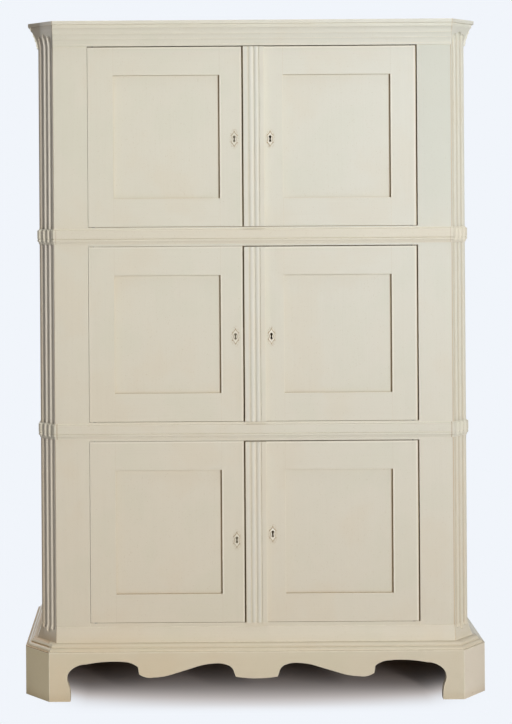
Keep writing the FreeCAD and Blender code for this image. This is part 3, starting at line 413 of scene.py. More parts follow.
paper = Recipe("floor_paper")
seen_directly = paper.node("ShaderNodeLightPath", {}, {}, "Is Camera Ray")
paper_colour = paper.blend(paper.noise(paper.place, 60.0, detail=3.0), PAPER_GREY, PAPER_WHITE)
paper_colour = paper.blend(painted_paper_shade(paper, seen_directly), paper_colour, PAPER_SHADE_DARK)
paper.finish(Base_Color=paper_colour, Roughness=0.9, Specular_IOR_Level=0.0)
shade = (1.0 - light_left(paper)) * can_be_shaded(paper)
glow_colour = paper.blend(shade.ramp(0.0, 0.6), BACKGROUND, SHADE_EDGE)
glow = paper.node("ShaderNodeEmission", {}, {"Color": glow_colour})
matt = Wire(paper, paper.shader.outputs[0])
mixed = paper.node("ShaderNodeMixShader", {},
                   {0: (1.0 - shade) * seen_directly, 1: matt, 2: glow})
paper.feed(paper.tree.nodes["Material Output"].inputs["Surface"], mixed)
floor.data.materials.append(paper.material)
print("in the middle the light is halved at y =", HALF_LIGHT, "m, the base starts at",
      round(BASE_FRONT, 3))

# %% [markdown]
# ## The cream paint
# The real cupboard is pine, painted by hand with several coats of cream oil paint.
# Seen closely it is not one colour: the brush left fine streaks, the paint yellowed
# more near the floor and stayed cooler on the right, and slow patches run from
# pinkish tan to greenish grey.  Near the floor the left side is also painted a
# little lighter, as painted light where the lamp's light falls off.  One function
# mixes that paint for every piece.  It reads only the place on the piece, so that
# the paint stays put when a door turns.

# %% Mix the paint
TOP_LEFT, TOP_RIGHT = linear(224, 219, 201), linear(219, 218, 206)
FOOT_LEFT, FOOT_RIGHT = linear(218, 207, 186), linear(215, 207, 189)
# The left floor tint is lighter than the right as painted light, making up for the lamp's falloff
# there.
FLOOR_YELLOW_AND_LIGHT_LEFT, FLOOR_YELLOW_RIGHT = (1.0, 0.96, 0.87), (0.955, 0.925, 0.86)
PINK_TAN, GREEN_GREY = (0.995, 0.968, 0.938), (0.966, 0.984, 0.968)
STREAK = (0.95, 0.945, 0.93)
LEVEL_BRUSH, UPRIGHT_BRUSH = (4.0, 4.0, 210.0), (210.0, 210.0, 4.0)


def paint_colour(paint, brush, seed):
    """Four corner colours mixed by place, then tinted by patches and brush streaks."""
    across = paint.x.ramp(-0.65, 0.65)
    up = paint.z.ramp(-0.1, 1.9)
    colour = paint.blend(up, paint.blend(across, FOOT_LEFT, FOOT_RIGHT),
                         paint.blend(across, TOP_LEFT, TOP_RIGHT))
    floor_yellow_and_light = paint.blend(across, FLOOR_YELLOW_AND_LIGHT_LEFT, FLOOR_YELLOW_RIGHT)
    colour = paint.blend(paint.z.ramp(0.12, 0.24, 1.0, 0.0), colour, floor_yellow_and_light, "MULTIPLY")
    patches = paint.noise(paint.scaled((6.0, 6.0, 5.0), (seed, 0.0, seed)), detail=3.0)
    colour = paint.blend(patches.ramp(0.50, 0.66) * 0.6, colour, PINK_TAN, "MULTIPLY")
    colour = paint.blend(patches.ramp(0.50, 0.34) * 0.6, colour, GREEN_GREY, "MULTIPLY")
    streaks = paint.noise(paint.along_grain(brush, 1.0, 1.0, seed), detail=4.0, roughness=0.7)
    colour = paint.blend(streaks.ramp(0.40, 0.80) * 0.3, colour, STREAK, "MULTIPLY")
    return colour, streaks


print("brush streaks are about", round(1000 / max(LEVEL_BRUSH)), "mm wide and",
      round(1000 / min(LEVEL_BRUSH)), "mm long")

# %% [markdown]
# ## The bare pine
# Behind the doors the cupboard was never painted: shelves, back boards and the
# backs of the doors are plain pine that went honey brown.  Pine grain is a set of
# long wavering lines.  A slow noise, drawn out along the board, is turned into lines
# by a sine, so that they waver as it does.  A finer noise gives the pores.

# %% Grow the pine
PINE_LIGHT, PINE_DARK = linear(204, 174, 130), linear(164, 126, 82)
PORES, AGE = (0.84, 0.79, 0.72), (0.78, 0.73, 0.68)
LINES_IN_NOISE = 74.0


def pine_grain(wood, brush, seed):
    """Lines are sin(slow noise * a number of lines), sharpened; pores are streaks."""
    slow = wood.noise(wood.along_grain(brush, 0.24, 0.055, seed))
    lines = (slow * LINES_IN_NOISE).math("SINE") * 0.5 + 0.5
    pores = wood.noise(wood.along_grain(brush, 2.0, 2.0, 0.0))
    late_wood = lines.ramp(0.35, 0.95)
    colour = wood.blend(late_wood * 0.42, PINE_LIGHT, PINE_DARK)
    colour = wood.blend(pores.ramp(0.5, 0.75) * 0.45, colour, PORES, "MULTIPLY")
    age = wood.noise(wood.scaled((3.0, 3.0, 3.0), (0.0, seed, 0.0)), detail=3.0)
    colour = wood.blend(age.ramp(0.4, 0.7) * 0.6, colour, AGE, "MULTIPLY")
    return colour, late_wood * 0.5 + pores * 0.6


print("late wood gives back", [round(v, 2) for v in PINE_DARK], "of the light")

# %% [markdown]
# Each back board and each shelf gets a shade of its own from a number that depends
# only on which one it is.  Between the back boards runs a dark line, and dust lies
# on all that is level.

# %% Cut the bare boards
OWN_SHADE, JOINT_SHADE, DUST = (0.80, 0.73, 0.66), (0.30, 0.24, 0.19), linear(186, 178, 164)
SHELF_GRAIN, BOARD_GRAIN = (3.0, 180.0, 180.0), (180.0, 180.0, 3.0)
BACK_BOARDS = 8
SHELVES_IN_METRE = 1.7
back_low, back_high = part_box("back_boards")
board_pitch = (back_high[0] - back_low[0]) / BACK_BOARDS


def bare_pine(name, brush, seed, board=None, joint=None):
    """Pine boards; board gives a number to each board, joint the lines between them."""
    wood = Recipe(name)
    colour, height = pine_grain(wood, brush, seed)
    if board is not None:
        own = wood.node("ShaderNodeTexWhiteNoise", {"noise_dimensions": "1D"},
                        {"W": board(wood)}, "Value")
        colour = wood.blend(own * 0.85, colour, OWN_SHADE, "MULTIPLY")
    if joint is not None:
        line = joint(wood)
        colour = wood.blend(line * 0.85, colour, JOINT_SHADE, "MULTIPLY")
        height = height - line * 1.5
    patches = wood.noise(wood.place, 9.0, detail=3.0).ramp(0.35, 0.75)
    dust = wood.facing("Z").ramp(0.6, 0.95) * patches
    colour = wood.blend(dust * 0.35, colour, DUST)
    roughness = 0.62 + height * 0.18
    return wood.finish(Base_Color=colour, Roughness=roughness.clamped(),
                       Normal=wood.bump(height, 0.0005, 0.6))


def which_back_board(wood):
    """0 to 7, from left to right."""
    return ((wood.x - back_low[0]) / board_pitch).math("FLOOR")


def between_back_boards(wood):
    """Thin lines where the boards meet, at every whole number of widths."""
    place = ((wood.x - back_low[0]) / board_pitch).math("FRACT")
    return (0.5 - abs(place - 0.5)).ramp(0.004, 0.011, 1.0, 0.0)


def which_shelf(wood):
    """Another whole number at the height of each shelf."""
    return (wood.z * SHELVES_IN_METRE).math("FLOOR") + 7.0


bare_materials = {
    "back_boards": bare_pine("pine_back_boards", BOARD_GRAIN, 3.0, which_back_board,
                             between_back_boards),
    "shelves": bare_pine("pine_shelves", SHELF_GRAIN, 5.0, which_shelf),
}
for board_seed, board in ((7.0, "top_board"), (9.0, "bottom_board"),
                          (11.0, "divider_upper"), (13.0, "divider_lower")):
    bare_materials[board] = bare_pine(f"pine_{board}", SHELF_GRAIN, board_seed)
print(len(bare_materials), "pieces of bare pine, back boards", round(board_pitch * 1000), "mm wide")

# %% [markdown]
# ## Paint over wood
# Every painted piece gets its paint from one function.  Over the paint's colour it
# lightens the arrises, as paint rubbed pale where cloths and hands pass and also as a
# painted highlight along every outer and inner edge, and it adds specks.  Then come
# the marks that one piece alone has.  Each mark is a small function that tells how
# strong it is at any place: dirt and painted shade, brown stains and painted shade,
# worn, or bare, where the paint ends and pine shows.

# %% Lay the paint
GRIME_AND_SHADE, BROWN_STAIN_AND_SHADE, SPECKS = (0.54, 0.405, 0.235), (0.60, 0.445, 0.285), (0.80, 0.74, 0.64)
PALE_WEAR_AND_HIGHLIGHT, SCUFFED = linear(238, 231, 212), linear(150, 122, 86)
ARRIS_RADIUS = 0.0032


def painted(name, brush, seed, grime=None, bare=None, worn=None, tint=None, stain=None,
            level=None):
    """Cream paint, its edges lightened by wear and by a painted highlight.  Each mark is
    a function that gives a mask; tint gives its colour too, and level tells where the
    brush went sideways."""
    paint = Recipe(name)
    if level is not None:
        paint.lies_level = level(paint)
    colour, streaks = paint_colour(paint, brush, seed)
    if tint is not None:
        share, with_colour = tint(paint)
        colour = paint.blend(share, colour, with_colour)
    lumps = paint.noise(paint.place, 26.0)
    # The arrises are lightened both as worn paint and as a painted highlight.
    rubbed = paint.arris(ARRIS_RADIUS) * lumps.ramp(0.30, 0.60, 0.25, 0.8)
    colour = paint.blend(rubbed, colour, PALE_WEAR_AND_HIGHLIGHT)
    specks = paint.noise(paint.place, 240.0, detail=1.0)
    colour = paint.blend(specks.ramp(0.66, 0.76) * 0.35, colour, SPECKS, "MULTIPLY")
    height = streaks * 0.6 + lumps * 0.8
    roughness = 0.44 + streaks * 0.12 + lumps * 0.08
    # This browns a real opened joint on the right stile, and elsewhere paints shade in sunk lines,
    # beside gaps and in the panels' corners.
    if stain is not None:
        colour = paint.blend(stain(paint), colour, BROWN_STAIN_AND_SHADE, "MULTIPLY")
    # This darkens by real dirt and dark joints on some pieces, and as painted shade in gaps, flutes
    # and recesses on others.
    if grime is not None:
        dirt = (grime(paint) * (0.75 + lumps * 0.5)).clamped()
        colour = paint.blend(dirt, colour, GRIME_AND_SHADE, "MULTIPLY")
        roughness = roughness + dirt * 0.25
    if worn is not None:
        scuff = worn(paint)
        colour = paint.blend(scuff, colour, SCUFFED)
        height = height - scuff * 0.9
        roughness = roughness + scuff * 0.2
    if bare is not None:
        wood_colour, wood_height = pine_grain(paint, brush, seed)
        lap = bare(paint)
        colour = paint.blend(lap, colour, wood_colour)
        height = paint.mix("FLOAT", lap, height, wood_height)
        roughness = roughness + lap * 0.22
    return paint.finish(Base_Color=colour, Roughness=roughness.clamped(),
                        Normal=paint.bump(height, 0.0006, 0.5))


# Over this width the edges are lightened by wear and by a painted highlight.
print("arrises are rubbed", ARRIS_RADIUS * 1000, "mm wide")

# %% [markdown]
# ## Paint on the carcase
# The painter worked with the grain: up and down on the posts, stiles and sides,
# along on the rails and mouldings.  Where two pieces meet, every edge that lies
# behind the face is painted brown as the shade in the gap.  Inside, where the brush
# didn't reach, the pine is bare.

# %% Find the face and what lies behind it
EDGE_SHADE = 0.75
FRAME_BACK = -0.1928
POST_INNER, POST_BACK = 0.6375, -0.1430
INNER_SIDE = 0.6665


def on_face(paint, depth=0.0003):
    """1 on the front face, and down to this depth behind it."""
    return (FRONT_FACE + depth - paint.y).above(0.0)


def gap_shade_behind_face(paint):
    """Painted shade in the gaps, growing over the first few millimetres behind the front face."""
    return (paint.y - FRONT_FACE).ramp(0.0008, 0.0045) * EDGE_SHADE


def frame_back(paint):
    """The backs of doors, rails and stiles."""
    return (paint.y - FRAME_BACK).above(0.0)


def post_inside(paint):
    """The two faces of a corner post that look into the cupboard."""
    return (POST_INNER - abs(paint.x)).above(0.0).either((paint.y - POST_BACK).above(0.0))


def side_inside(paint):
    """The inner face of a side board."""
    return (INNER_SIDE - abs(paint.x)).above(0.0)


print("bare backs lie", round((FRAME_BACK - FRONT_FACE) * 1000, 1), "mm behind the face")

# %% [markdown]
# The flutes of the canted corners are darkened as painted shade, the left ones only
# a little.  The left cant lies in shade, and its paint is tinted grey as painted
# shade.  Its outer edge and its foot are darker still, also as painted shade.  The
# flutes could be marked one by one, but how deep a place lies under the plane of
# the cant finds them all.

# %% Mark the canted corners
CANT_PLANE = 0.8525
FLUTE_DEPTH = 0.005
CANT_EDGE = (-0.676, -0.682)
CANT_FOOT = (0.176, 0.225)
CANT_SHADE_GREY, CANT_SHADE_GREY_EDGE = linear(224, 216, 204), linear(184, 177, 169)


def flute_shade(strength):
    """Painted shade by how deep a place lies under the plane of the cant, where x and -y add up."""
    def mask(paint):
        depth = (CANT_PLANE - abs(paint.x) + paint.y) / math.sqrt(2.0)
        in_flute = depth.ramp(0.0010, FLUTE_DEPTH) * depth.ramp(0.0052, 0.0062, 1.0, 0.0)
        return in_flute * strength
    return mask


def left_cant_shade_tint(paint):
    """A grey tint of painted shade over the cream, a little darker outwards."""
    outwards = paint.x.ramp(-0.662, -0.684)
    return paint.z.ramp(0.2, 1.4, 0.3, 0.6), paint.blend(outwards, CANT_SHADE_GREY, CANT_SHADE_GREY_EDGE)


def left_post_shade(paint):
    """Painted shade: a little in the flutes, most on the outer edge and round the foot of the post.
    """
    outer = paint.x.ramp(*CANT_EDGE, 0.0, 0.42)
    foot = paint.z.ramp(*CANT_FOOT, 0.45, 0.0)
    return any_of(flute_shade(0.16)(paint), outer, foot)


# The flutes are darkened as painted shade down to this depth.
print("flutes hold dirt down to", FLUTE_DEPTH * 1000, "mm")

# %% [markdown]
# The base took the knocks.  Its feet are scuffed at the floor, and a breath of dirt
# lies there.  The sunk lines of the moulding above it are painted brown as shade,
# most on the shaded cant.  Pale dust, where no cloth passes between cupboard and
# wall, and painted light lie along its sides, and the level parts of the left cant
# get a painted highlight.  Heights and distances from the base's edges are enough to
# place all of these marks.

# %% Mark the base
BASE_CANT_PLANE = 0.9246
BASE_BOARD = 0.0215
MOULDING_LINES = ((0.1662, 0.0034), (0.1552, 0.0028), (0.1752, 0.0020))  # height, reach
LEDGE_DUST_AND_LIGHT = linear(246, 244, 234)


def foot_scuffs(paint):
    """Chips along the lowest centimetres, thinning out upwards."""
    chips = paint.noise(paint.place, 70.0, detail=4.0, roughness=0.65)
    return (chips - paint.z * 6.0).ramp(0.60, 0.66) * 0.55


def base_dirt(paint):
    """A breath of dirt at the floor."""
    return paint.z.ramp(0.0, 0.035, 0.18, 0.0)


def plinth_inside(paint):
    """The inner faces: deeper than one board behind the front, the sides, the back
    and the plane of the cants."""
    behind_front = (paint.y - (BASE_FRONT + BASE_BOARD)).above(0.0)
    inside_sides = (BASE_SIDE - BASE_BOARD - abs(paint.x)).above(0.0)
    under_cant = (BASE_CANT_PLANE - BASE_BOARD * math.sqrt(2.0) - abs(paint.x) + paint.y).above(0.0)
    return behind_front * inside_sides * under_cant * (BASE_BACK - BASE_BOARD - paint.y).above(0.0)


def ledge_dust_and_light(paint):
    """Pale dust and painted light along the sides in patches, and a painted highlight on the level
    part of the left cant.
    """
    aside = (abs(paint.x) - 0.689).ramp(0.0, 0.006) * (paint.y - BASE_FRONT).ramp(0.09, 0.13)
    patches = paint.noise(paint.place, 11.0, detail=3.0).ramp(0.25, 0.7, 0.7, 1.0)
    upwards = paint.facing("Z")
    on_left_cant = (-0.660 - paint.x).ramp(0.0, 0.004) * (-0.170 - paint.y).above(0.0)
    # The upward faces of the shaded left cant are painted pale as a highlight.
    rubbed = on_left_cant * upwards.ramp(0.75, 0.98) * 0.8
    return (aside * patches * upwards.ramp(-0.1, 0.6, 0.5, 1.0)).either(rubbed), LEDGE_DUST_AND_LIGHT


def moulding_line_shade(paint):
    """Painted shade: brown in the sunk lines of the moulding, strong on the shaded cant."""
    lines = any_of(*(paint.z.near(height, reach) for height, reach in MOULDING_LINES))
    return lines.ramp(0.0, 0.7) * (-0.655 - paint.x).ramp(0.0, 0.008, 0.05, 0.9)


print("sunk lines at", [round(height * 1000, 1) for height, _ in MOULDING_LINES], "mm")

# %% [markdown]
# A few pieces differ from their neighbours.  The right stile is painted cooler and
# darker at its top, as shade, and its joint with the post has opened.  The bands
# show dark joints at both ends of their front run, the feet differ in colour, and
# the cornice is dusty on top.  The whole carcase is then a list: piece, brush, seed
# and marks.

# %% Paint the carcase
STILE_EDGE, BAND_JOINT = 0.6340, 0.631
STILE_SHADE_COOL, TOP_DUST = linear(206, 208, 196), linear(196, 189, 173)
BAND_WARM = linear(222, 213, 192)
LEFT_FOOT_OLIVE, RIGHT_FOOT_PALE = linear(224, 209, 172), linear(226, 216, 199)


def even_tint(share, colour):
    """The same tint all over a piece."""
    return lambda paint: (share, colour)


def stile_joint(paint):
    """The joint between the right stile and its post has opened into a fine line."""
    return (paint.x - STILE_EDGE).ramp(0.0, 0.0012) * paint.z.ramp(0.9, 1.7, 0.5, 0.3)


def stile_top_shade(paint):
    """Painted shade: cooler, darker paint towards the top of the right stile."""
    return paint.z.ramp(1.2, 1.9, 0.0, 0.8), STILE_SHADE_COOL


def band_joints(strength):
    """The dark joints at both ends of a band's front run."""
    def mask(paint):
        joint = abs(paint.x).near(BAND_JOINT, 0.0016).ramp(0.0, 0.8)
        return joint * strength * on_face(paint, -0.0002)
    return mask


def top_dust(paint):
    """Dust on what is level."""
    return paint.facing("Z").ramp(0.7, 0.95) * 0.55, TOP_DUST


face_marks = {"grime": gap_shade_behind_face, "bare": frame_back}
base_marks = {"grime": base_dirt, "bare": plinth_inside, "worn": foot_scuffs}
carcase_pieces = (
    ("corner_post_left", UPRIGHT_BRUSH, 1.0,
     {"grime": left_post_shade, "bare": post_inside, "tint": left_cant_shade_tint}),
    ("corner_post_right", UPRIGHT_BRUSH, 2.0, {"grime": flute_shade(0.32), "bare": post_inside}),
    ("face_stile_left", UPRIGHT_BRUSH, 3.0, {"bare": frame_back}),
    ("face_stile_right", UPRIGHT_BRUSH, 4.6,
     {**face_marks, "tint": stile_top_shade, "stain": stile_joint}),
    ("head_rail", LEVEL_BRUSH, 5.0, face_marks),
    ("waist_rail_upper", LEVEL_BRUSH, 6.0, face_marks),
    ("waist_rail_lower", LEVEL_BRUSH, 7.0, face_marks),
    ("sill_rail", LEVEL_BRUSH, 8.0, face_marks),
    ("side_board_left", UPRIGHT_BRUSH, 9.0, {"bare": side_inside}),
    ("side_board_right", UPRIGHT_BRUSH, 10.0, {"bare": side_inside}),
    ("cornice", LEVEL_BRUSH, 11.0, {"tint": top_dust}),
    ("waist_moulding_upper", LEVEL_BRUSH, 12.0,
     {"grime": band_joints(0.35), "tint": even_tint(0.55, BAND_WARM)}),
    ("waist_moulding_lower", LEVEL_BRUSH, 13.0, {"grime": band_joints(0.95)}),
    ("plinth_moulding", LEVEL_BRUSH, 14.0, {"tint": ledge_dust_and_light, "stain": moulding_line_shade}),
    ("plinth_front", LEVEL_BRUSH, 15.0, base_marks),
    ("plinth_corner_left", LEVEL_BRUSH, 16.0,
     {**base_marks, "tint": even_tint(0.9, LEFT_FOOT_OLIVE)}),
    ("plinth_corner_right", LEVEL_BRUSH, 17.5,
     {**base_marks, "tint": even_tint(0.85, RIGHT_FOOT_PALE)}),
    ("plinth_side_left", LEVEL_BRUSH, 18.0, base_marks),
    ("plinth_side_right", LEVEL_BRUSH, 19.0, base_marks),
    ("plinth_back", LEVEL_BRUSH, 20.0, base_marks),
)
carcase_materials = {piece: painted(f"paint_{piece}", brush, seed, **marks)
                     for piece, brush, seed, marks in carcase_pieces}
print(len(carcase_materials), "painted pieces on the carcase")

# %% [markdown]
# ## Paint on the doors
# Each door has its own paint, because its marks sit where its own joints are.  The
# rails' shoulders show as fine lines where they meet the stiles.  The door edges in
# the gaps and their arrises are painted brown as shade, and so is the corner
# between frame and panel, most on the right side of each panel.  The meeting edge,
# the top edge and the stile beside each panel get painted highlights.  The backs
# are bare pine with a ragged border where the brush lapped over the edges.  Behind
# the left doors' plates the keyhole is only a hollow, painted dark as shade.  Masks
# worked out from a door's own box fit all six doors, which marks drawn by hand would
# not.

# %% Paint the doors
TIERS = ("upper", "middle", "lower")
PANEL_TONGUE = 0.008
PANEL_DEPTH = 0.012
LAP, LAP_RAGGED = 0.004, 0.012
HINGE_GAP = -0.5225
HOLLOW_HALF_WIDTH, HOLLOW_HALF_HEIGHT = 0.006, 0.014
PLATE_NARROWNESS, PLATE_AROUND = 2.2, 0.0285
FRAME_HIGHLIGHT, KEYHOLE_SHADE_DARK = linear(244, 238, 221), linear(96, 88, 68)


def door_paint(tier, side, seed):
    """The paint of one door's frame and panel, with marks where its joints are."""
    low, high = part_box(f"door_frame_{tier}_{side}")
    panel_low, panel_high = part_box(f"door_panel_{tier}_{side}")
    plate_low, plate_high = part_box(f"escutcheon_{tier}_{side}")
    left, right = panel_low[0] + PANEL_TONGUE, panel_high[0] - PANEL_TONGUE
    bottom, top = panel_low[2] + PANEL_TONGUE, panel_high[2] - PANEL_TONGUE
    keyhole_x = (plate_low[0] + plate_high[0]) / 2
    keyhole_z = (plate_low[2] + plate_high[2]) / 2
    mid_x, half_x = (low[0] + high[0]) / 2, (high[0] - low[0]) / 2
    mid_z, half_z = (low[2] + high[2]) / 2, (high[2] - low[2]) / 2

    def hollow(paint):
        """The place behind the keyhole."""
        return (paint.x.near(keyhole_x, HOLLOW_HALF_WIDTH).ramp(0.1, 0.4)
                * paint.z.near(keyhole_z, HOLLOW_HALF_HEIGHT).ramp(0.1, 0.4))

    def past_panel(paint):
        """Above the panel and below it."""
        return (paint.z - top).above(0.0).either((bottom - paint.z).above(0.0))

    def on_rail(paint):
        """The two rails, between the stiles."""
        return past_panel(paint) * (paint.x - left).above(0.0) * (right - paint.x).above(0.0)

    def frame_gap_shade_and_joints(paint):
        """Painted shade on the edges in the gaps, but not at the left hinge gap, and dark joint
        lines at the shoulders.
        """
        shoulders = paint.x.near(left, 0.0011).either(paint.x.near(right, 0.0011))
        marks = shoulders.ramp(0.1, 0.8) * past_panel(paint) * 0.16
        away_from_hinge = (paint.x - HINGE_GAP).above(0.0)
        return (gap_shade_behind_face(paint) * away_from_hinge).either(marks * on_face(paint))

    def frame_stain(paint):
        """Brown painted shade on the arris beside the gaps, and dirt specks round the plate."""
        arris = (high[0] - paint.x).ramp(0.0008, 0.0026, 0.85, 0.0)
        narrowed = paint.node("ShaderNodeVectorMath", {"operation": "MULTIPLY"},
                              {0: paint.place, 1: (PLATE_NARROWNESS, 0.0, 1.0)})
        middle = (PLATE_NARROWNESS * keyhole_x, 0.0, keyhole_z)
        around = paint.node("ShaderNodeVectorMath", {"operation": "DISTANCE"},
                            {0: narrowed, 1: middle}, 1)
        specks = paint.noise(paint.place, 330.0).ramp(0.45, 0.65)
        return arris.either(around.near(PLATE_AROUND, 0.008) * specks * 0.4)

    def frame_highlight_and_keyhole_shade(paint):
        """Painted highlights on the meeting edge, the top edge and the stile beside the
        panel.  What shows through the keyhole is painted dark as shade."""
        side_edge = paint.x.near(high[0] - 0.0046, 0.0034)
        top_edge = paint.z.near(high[2] - 0.0034, 0.0028) * 0.9
        beside = (paint.x.near(right + 0.0030, 0.0032)
                  * (paint.z - bottom).above(0.0) * (top - paint.z).above(0.0))
        pale = any_of(side_edge, top_edge, beside) * 0.62
        behind_hole = hollow(paint)
        share = pale.either(behind_hole) * on_face(paint)
        return share, paint.blend(behind_hole, FRAME_HIGHLIGHT, KEYHOLE_SHADE_DARK)

    def frame_bare(paint):
        """The back, up to a ragged border along the edges."""
        from_edge = (half_x - abs(paint.x - mid_x)).both(half_z - abs(paint.z - mid_z))
        ragged = paint.noise(paint.place, 60.0, detail=3.0) * LAP_RAGGED
        return frame_back(paint) * (from_edge - ragged).ramp(0.0, LAP)

    def panel_stain(paint):
        """Painted shade: brown in the corner between panel and frame, nearly all on the right."""
        at_right = (right - paint.x).ramp(0.0015, 0.008, 0.95, 0.0)
        at_top, at_bottom = paint.z.near(top, 0.004), paint.z.near(bottom, 0.004)
        return any_of(at_right, at_top * 0.10, at_bottom * 0.18)

    def panel_bare(paint):
        """The back of the panel."""
        return (paint.y - (FRONT_FACE + PANEL_DEPTH)).above(0.0)

    return {
        f"door_frame_{tier}_{side}": painted(
            f"paint_frame_{tier}_{side}", UPRIGHT_BRUSH, seed, frame_gap_shade_and_joints, frame_bare,
            tint=frame_highlight_and_keyhole_shade, stain=frame_stain, level=on_rail),
        f"door_panel_{tier}_{side}": painted(
            f"paint_panel_{tier}_{side}", UPRIGHT_BRUSH, seed + 0.37, bare=panel_bare,
            stain=panel_stain),
    }


door_materials = {}
for tier_index, tier in enumerate(TIERS):
    door_materials.update(door_paint(tier, "left", 21.0 + tier_index))
    door_materials.update(door_paint(tier, "right", 31.0 + tier_index))
print(len(door_materials), "painted door pieces")

# %% [markdown]
# The strip on each right door runs beside the gap between the two doors.  It is
# reeded: two rounds between flats, with a sunk line at each side of a round.  The
# sunk lines and the edge beside the gap are darkened a little as painted shade, and
# the rounds and the flat beside the gap get painted highlights.  A place across the
# strip is all that these marks need, so all three strips share it.

# %% Paint the reeded strips
REED_WIDTH = 0.018
STRIP_HIGHLIGHT = linear(222, 223, 217)
strip_low, strip_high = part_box("cover_strip_upper")
strip_middle = (strip_low[0] + strip_high[0]) / 2
sunk_lines = [strip_middle - REED_WIDTH, strip_middle, strip_middle + REED_WIDTH]


def strip_line_shade(paint):
    """Painted shade: a trace in the sunk lines, more on the edge beside the gap."""
    lines = any_of(*(paint.x.near(line, 0.003) for line in sunk_lines)) * 0.03
    return lines.either((paint.x - strip_low[0]).ramp(0.0004, 0.0018, 0.6, 0.0))


def strip_highlights(paint):
    """Painted highlights on both rounds and on the flat beside the gap."""
    rounds = [paint.x.near(line + REED_WIDTH / 2, 0.007) for line in sunk_lines[:2]]
    flat = paint.x.near(strip_low[0] + 0.008, 0.008)
    return any_of(*rounds, flat) * 0.35, STRIP_HIGHLIGHT


for tier_index, tier in enumerate(TIERS):
    door_materials[f"cover_strip_{tier}"] = painted(
        f"paint_strip_{tier}", UPRIGHT_BRUSH, 41.0 + tier_index, strip_line_shade, tint=strip_highlights)
print("sunk lines at", [round(x * 1000, 1) for x in sunk_lines], "mm")

# %% [markdown]
# ## Iron
# Pivot pins, locks, bolts and staples are old wrought iron, nearly black, with a
# thin rust in patches.  Rust is rough and not metallic, so one mask drives colour,
# roughness and metal together.  Sliding parts are rubbed brighter on their faces.

# %% Forge the iron
IRON_DARK, IRON_LIGHT = linear(58, 55, 52), linear(86, 82, 78)
IRON_BRIGHT, RUST = linear(138, 134, 128), linear(104, 66, 44)


def old_iron(name, rub):
    """Dark iron with patches of rust; rub is how bright use has made the rest."""
    iron = Recipe(name)
    cloud = iron.noise(iron.place, 45.0, detail=5.0, roughness=0.65)
    grain = iron.noise(iron.place, 420.0)
    rust = cloud.ramp(0.48, 0.66)
    colour = iron.blend(grain, IRON_DARK, IRON_LIGHT)
    colour = iron.blend((1.0 - rust) * rub, colour, IRON_BRIGHT)
    colour = iron.blend(rust * 0.8, colour, RUST)
    return iron.finish(Base_Color=colour, Metallic=(0.9 - rust * 0.8).clamped(),
                       Roughness=(0.42 + rust * 0.38 + grain * 0.08 - rub * 0.1).clamped(),
                       Normal=iron.bump(cloud * 0.7 + grain * 0.3, 0.0005, 0.5))


iron_materials = {"hinge_pins": old_iron("iron_hinge_pins", 0.0)}
for tier in TIERS:
    for part, rub in (("lock_case", 0.0), ("bolt_staples", 0.0),
                      ("lock_bolt", 0.6), ("slide_bolt", 0.6)):
        iron_materials[f"{part}_{tier}"] = old_iron(f"iron_{part}_{tier}", rub)
print(len(iron_materials), "iron pieces")

# %% [markdown]
# ## Every finish on its piece
# The solid pieces keep their shapes and places.  Only their material slots change.

# %% Put every finish on its piece
finishes = {**bare_materials, **carcase_materials, **door_materials, **iron_materials}
for name, finish in finishes.items():
    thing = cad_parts[name]
    thing.data.materials.clear()
    thing.data.materials.append(finish)
print(len(finishes), "pieces have their finish")

# %% [markdown]
# ## The keyhole plates
# Round each keyhole sits a small shaped plate with a point above and below, a waist,
# a rolled rim and a raised lip at the hole.  It was cast, and later painted over
# with the doors.  It could be cut from a sheet and bevelled, but its relief is all
# curves, so each plate is one ring surface.  One direction runs round the keyhole,
# the other from the hole over the lip, the field and the rim to the outline and back
# underneath.  First come its two edges.

# %% Draw the outline and the keyhole
PLATE_HALF = np.array([0.0115, 0.027])
PLATE_POINTS = np.array([(1.0, 0.45), (0.62, 0.0), (1.0, -0.45), (0.0, -1.0),
                         (-1.0, -0.45), (-0.62, 0.0), (-1.0, 0.45), (0.0, 1.0)])
PLATE_BULGES = np.array([(0.74, 0.24), (0.74, -0.24), (0.44, -0.64), (-0.44, -0.64),
                         (-0.74, -0.24), (-0.74, 0.24), (-0.44, 0.64), (0.44, 0.64)])
STEPS_PER_CURVE = 26
HEAD_RADIUS, FOOT_RADIUS, SLOT_HALF, HOLE_PITCH = 0.0042, 0.0036, 0.0020, 0.0125


def plate_outline(steps):
    """Curves through the points: start (1-t)^2 + 2 bend t(1-t) + end t^2, where the
    bend is placed so that the curve passes through its bulge at t = 1/2."""
    start = PLATE_POINTS[:, None, :] * PLATE_HALF
    end = np.roll(start, -1, axis=0)
    bend = 2.0 * PLATE_BULGES[:, None, :] * PLATE_HALF - (start + end) / 2.0
    t = np.linspace(0.0, 1.0, steps, endpoint=False)[None, :, None]
    curve = start * (1.0 - t) ** 2 + 2.0 * bend * t * (1.0 - t) + end * t ** 2
    return curve.reshape(-1, 2)


def keyhole_reach(angle):
    """Distance from the middle to the keyhole's edge: the slot's side, or the far
    side of the round head or foot where the ray meets it."""
    across, up = np.cos(angle), np.sin(angle)
    reach = np.minimum(SLOT_HALF / np.maximum(np.abs(across), 1e-6), HOLE_PITCH / 2)
    for radius, centre in ((HEAD_RADIUS, HOLE_PITCH / 2), (FOOT_RADIUS, -HOLE_PITCH / 2)):
        along = up * centre
        inside = radius ** 2 - centre ** 2 + along ** 2
        far = along + np.sqrt(np.maximum(inside, 0.0))
        reach = np.where((inside > 0.0) & (along > 0.0), np.maximum(reach, far), reach)
    return reach


print("plate", PLATE_HALF * 2000, "mm, its outline has", len(plate_outline(STEPS_PER_CURVE)),
      "points")

